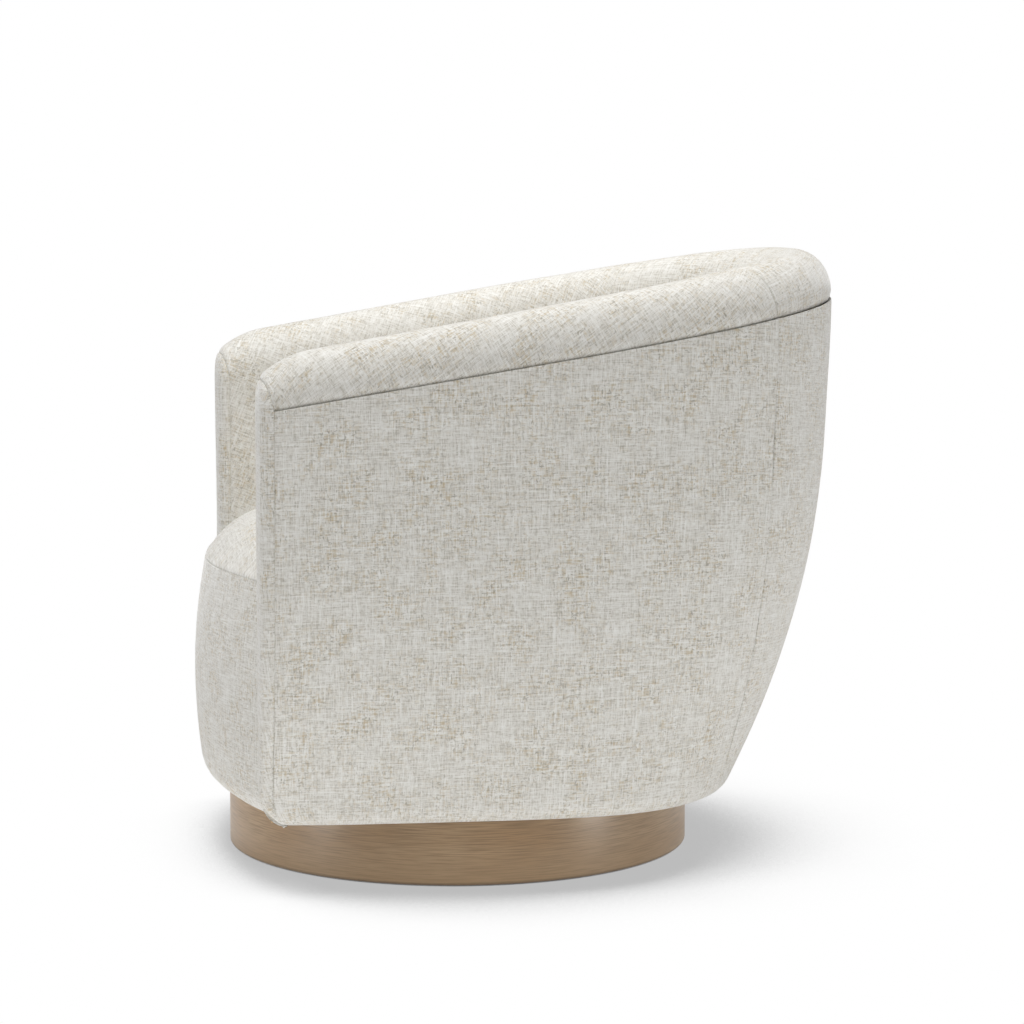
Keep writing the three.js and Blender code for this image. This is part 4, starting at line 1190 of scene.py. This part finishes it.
def plinth_material():
    """Satin brown wood with fine level grain and warm patches, with painted bounce light making it
    paler towards the foot and painted shade making its lowest millimetres dark.
    """
    material, tree, shader = new_material("satin_oak", WOOD_ROUGHNESS)
    place = grain_place(tree)
    bands = spread(tree, streaks(tree, place, *WOOD_BANDS), *WOOD_BAND_SPREAD)
    fibres = streaks(tree, place, *WOOD_FIBRES, WOOD_FIBRE_DETAIL)
    warm = spread(tree, streaks(tree, place, *WOOD_PATCHES), *WOOD_WARM_SPREAD)
    colour = blend_colours(tree, bands, WOOD_DARK, WOOD_LIGHT)
    colour = blend_colours(tree, warm, colour, WOOD_WARM)
    colour = blend_colours(tree, spread(tree, fibres, *WOOD_PORE_SPREAD), colour, WOOD_PORE)
    place = node(tree, "ShaderNodeTexCoord").outputs["Object"]
    height = node(tree, "ShaderNodeSeparateXYZ", {"Vector": place}).outputs["Z"]
    # Painted bounce light: the wood turns paler towards the foot, as if lit from the floor.
    pale = spread(tree, height, *BOUNCE_LIGHT_HEIGHTS, 0, BOUNCE_LIGHT_SHARE)
    colour = blend_colours(tree, pale, colour, WOOD_BOUNCE_LIGHT)
    # Painted shade: the lowest millimetres of the foot go dark, as under the rounded edge.
    foot = spread(tree, height, *FOOT_SHADE_HEIGHTS, FOOT_SHADE_SHARE, 0)
    colour = blend_colours(tree, foot, colour, WOOD_FOOT_SHADE)
    finish(tree, shader, colour, fibres, WOOD_RELIEF)
    return material


def inner_material(name, dark, light, grain_size, roughness, metallic):
    """Material whose two colours vary over the piece, for parts inside and under the chair."""
    material, tree, shader = new_material(name, roughness)
    shader.inputs["Metallic"].default_value = metallic
    place = node(tree, "ShaderNodeTexCoord").outputs["Object"]
    grain = pattern(tree, place, grain_size, (0, 0, 0), INNER_DETAIL)
    colour = blend_colours(tree, spread(tree, grain, *INNER_SPREAD), dark, light)
    finish(tree, shader, colour, grain, INNER_RELIEF)
    return material


def make_materials():
    made = {"fabric": fabric_material(), "plinth_wood": plinth_material()}
    for slot, settings in INNER_FINISHES.items():
        made[slot] = inner_material(slot, *settings)
    return made


def dress_nodes():
    """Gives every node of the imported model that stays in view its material."""
    for name, piece in frame["nodes"].items():
        slot = next(slot for slot, starts in NODE_SLOTS if name.startswith(starts))
        piece.data.materials.clear()
        piece.data.materials.append(materials[slot])


# Studio


def floor_shade(tree, place):
    """How bright the seen floor is: white, with a painted shadow under and near the chair that
    follows how closed in each place is, darkest at its foot.
    """
    inputs = {"Distance": SHADOW_REACH}
    around = node(tree, "ShaderNodeAmbientOcclusion", inputs, samples=SHADOW_SAMPLES)
    openness = around.outputs["AO"]
    behind = node(tree, "ShaderNodeSeparateXYZ", {"Vector": place}).outputs["Y"]
    shift = spread(tree, behind, -SHADOW_REACH, SHADOW_REACH, SHADOW_LEAN_SHARE, -SHADOW_LEAN_SHARE)
    shade = spread(tree, math_node(tree, "ADD", openness, shift), *SHADOW_SHARES, 1, 0)
    shade = math_node(tree, "POWER", shade, SHADOW_POWER)
    soft = spread(tree, shade, 0, 1, 1, SHADOW_CORE_SHARE)
    contact = spread(tree, openness, *CONTACT_SHARES, CONTACT_CORE_SHARE, 1)
    return math_node(tree, "MULTIPLY", soft, contact)


def seen_share(tree):
    """1 where the camera or a reflection looks, and 0 where light bounces."""
    path = node(tree, "ShaderNodeLightPath").outputs
    return math_node(tree, "MAXIMUM", path["Is Camera Ray"], path["Is Glossy Ray"])


def build_floor():
    size = FLOOR_SIZE / 2
    points = np.array([[-size, -size, 0], [size, -size, 0], [size, size, 0], [-size, size, 0]])
    material, tree, shader = new_material("floor", 1.0)
    shader.inputs["Base Color"].default_value = FLOOR_COLOUR
    shader.inputs["Specular IOR Level"].default_value = 0
    seen = seen_share(tree)
    place = node(tree, "ShaderNodeTexCoord").outputs["Object"]
    # The camera and reflections see the floor as a white glow with the painted shadow; bounced
    # light sees the lit floor plus a glow.
    shown = node(tree, "ShaderNodeEmission", {"Color": WHITE, "Strength": floor_shade(tree, place)})
    lift = node(tree, "ShaderNodeEmission", {"Color": WHITE, "Strength": FLOOR_LIFT})
    bright = node(tree, "ShaderNodeAddShader", {0: shader.outputs[0], 1: lift.outputs[0]})
    mixed = node(tree, "ShaderNodeMixShader", {0: seen, 1: bright.outputs[0], 2: shown.outputs[0]})
    out = tree.nodes["Material Output"]
    tree.links.new(mixed.outputs[0], out.inputs["Surface"])
    floor = new_mesh("floor", points, [[0, 1, 2, 3]], material)


def build_world():
    world = bpy.data.worlds.new("studio")
    bpy.context.scene.world = world
    world.use_nodes = True
    tree = world.node_tree
    strength = spread(tree, seen_share(tree), 0, 1, WORLD_LIGHT, 1)
    background = tree.nodes["Background"]
    background.inputs["Color"].default_value = WHITE
    tree.links.new(strength, background.inputs["Strength"])


def add_lamp(name, place, aim, size, watts, shine_only):
    lamp = bpy.data.lights.new(name, "AREA")
    lamp.shape = "RECTANGLE"
    lamp.size, lamp.size_y = size
    lamp.energy = watts
    piece = bpy.data.objects.new(name, lamp)
    piece.visible_diffuse = not shine_only
    piece.location = place
    piece.rotation_mode = "QUATERNION"
    piece.rotation_quaternion = (Vector(aim) - Vector(place)).to_track_quat("-Z", "Y")
    bpy.context.scene.collection.objects.link(piece)


def build_camera():
    camera = bpy.data.cameras.new("camera")
    camera.sensor_width = SENSOR_WIDTH
    camera.lens = FOCAL_PIXELS * SENSOR_WIDTH / PHOTO_PIXELS
    piece = bpy.data.objects.new("camera", camera)
    heading = math.radians(CAMERA_HEADING)
    level = math.cos(CAMERA_PITCH)
    look = Vector((math.cos(heading) * level, math.sin(heading) * level, -math.sin(CAMERA_PITCH)))
    piece.location = Vector(CAMERA_PLACE) + Vector((0, AXIS_Y, 0))
    piece.rotation_mode = "QUATERNION"
    piece.rotation_quaternion = look.to_track_quat("-Z", "Y")
    bpy.context.scene.collection.objects.link(piece)
    bpy.context.scene.camera = piece


def build_studio():
    build_floor()
    build_world()
    for lamp in LAMPS:
        add_lamp(*lamp)
    build_camera()
    bpy.context.scene.view_settings.view_transform = "Standard"


materials = make_materials()
dress_nodes()
build_covers()
build_dust_cloth()
build_plinth()
build_studio()
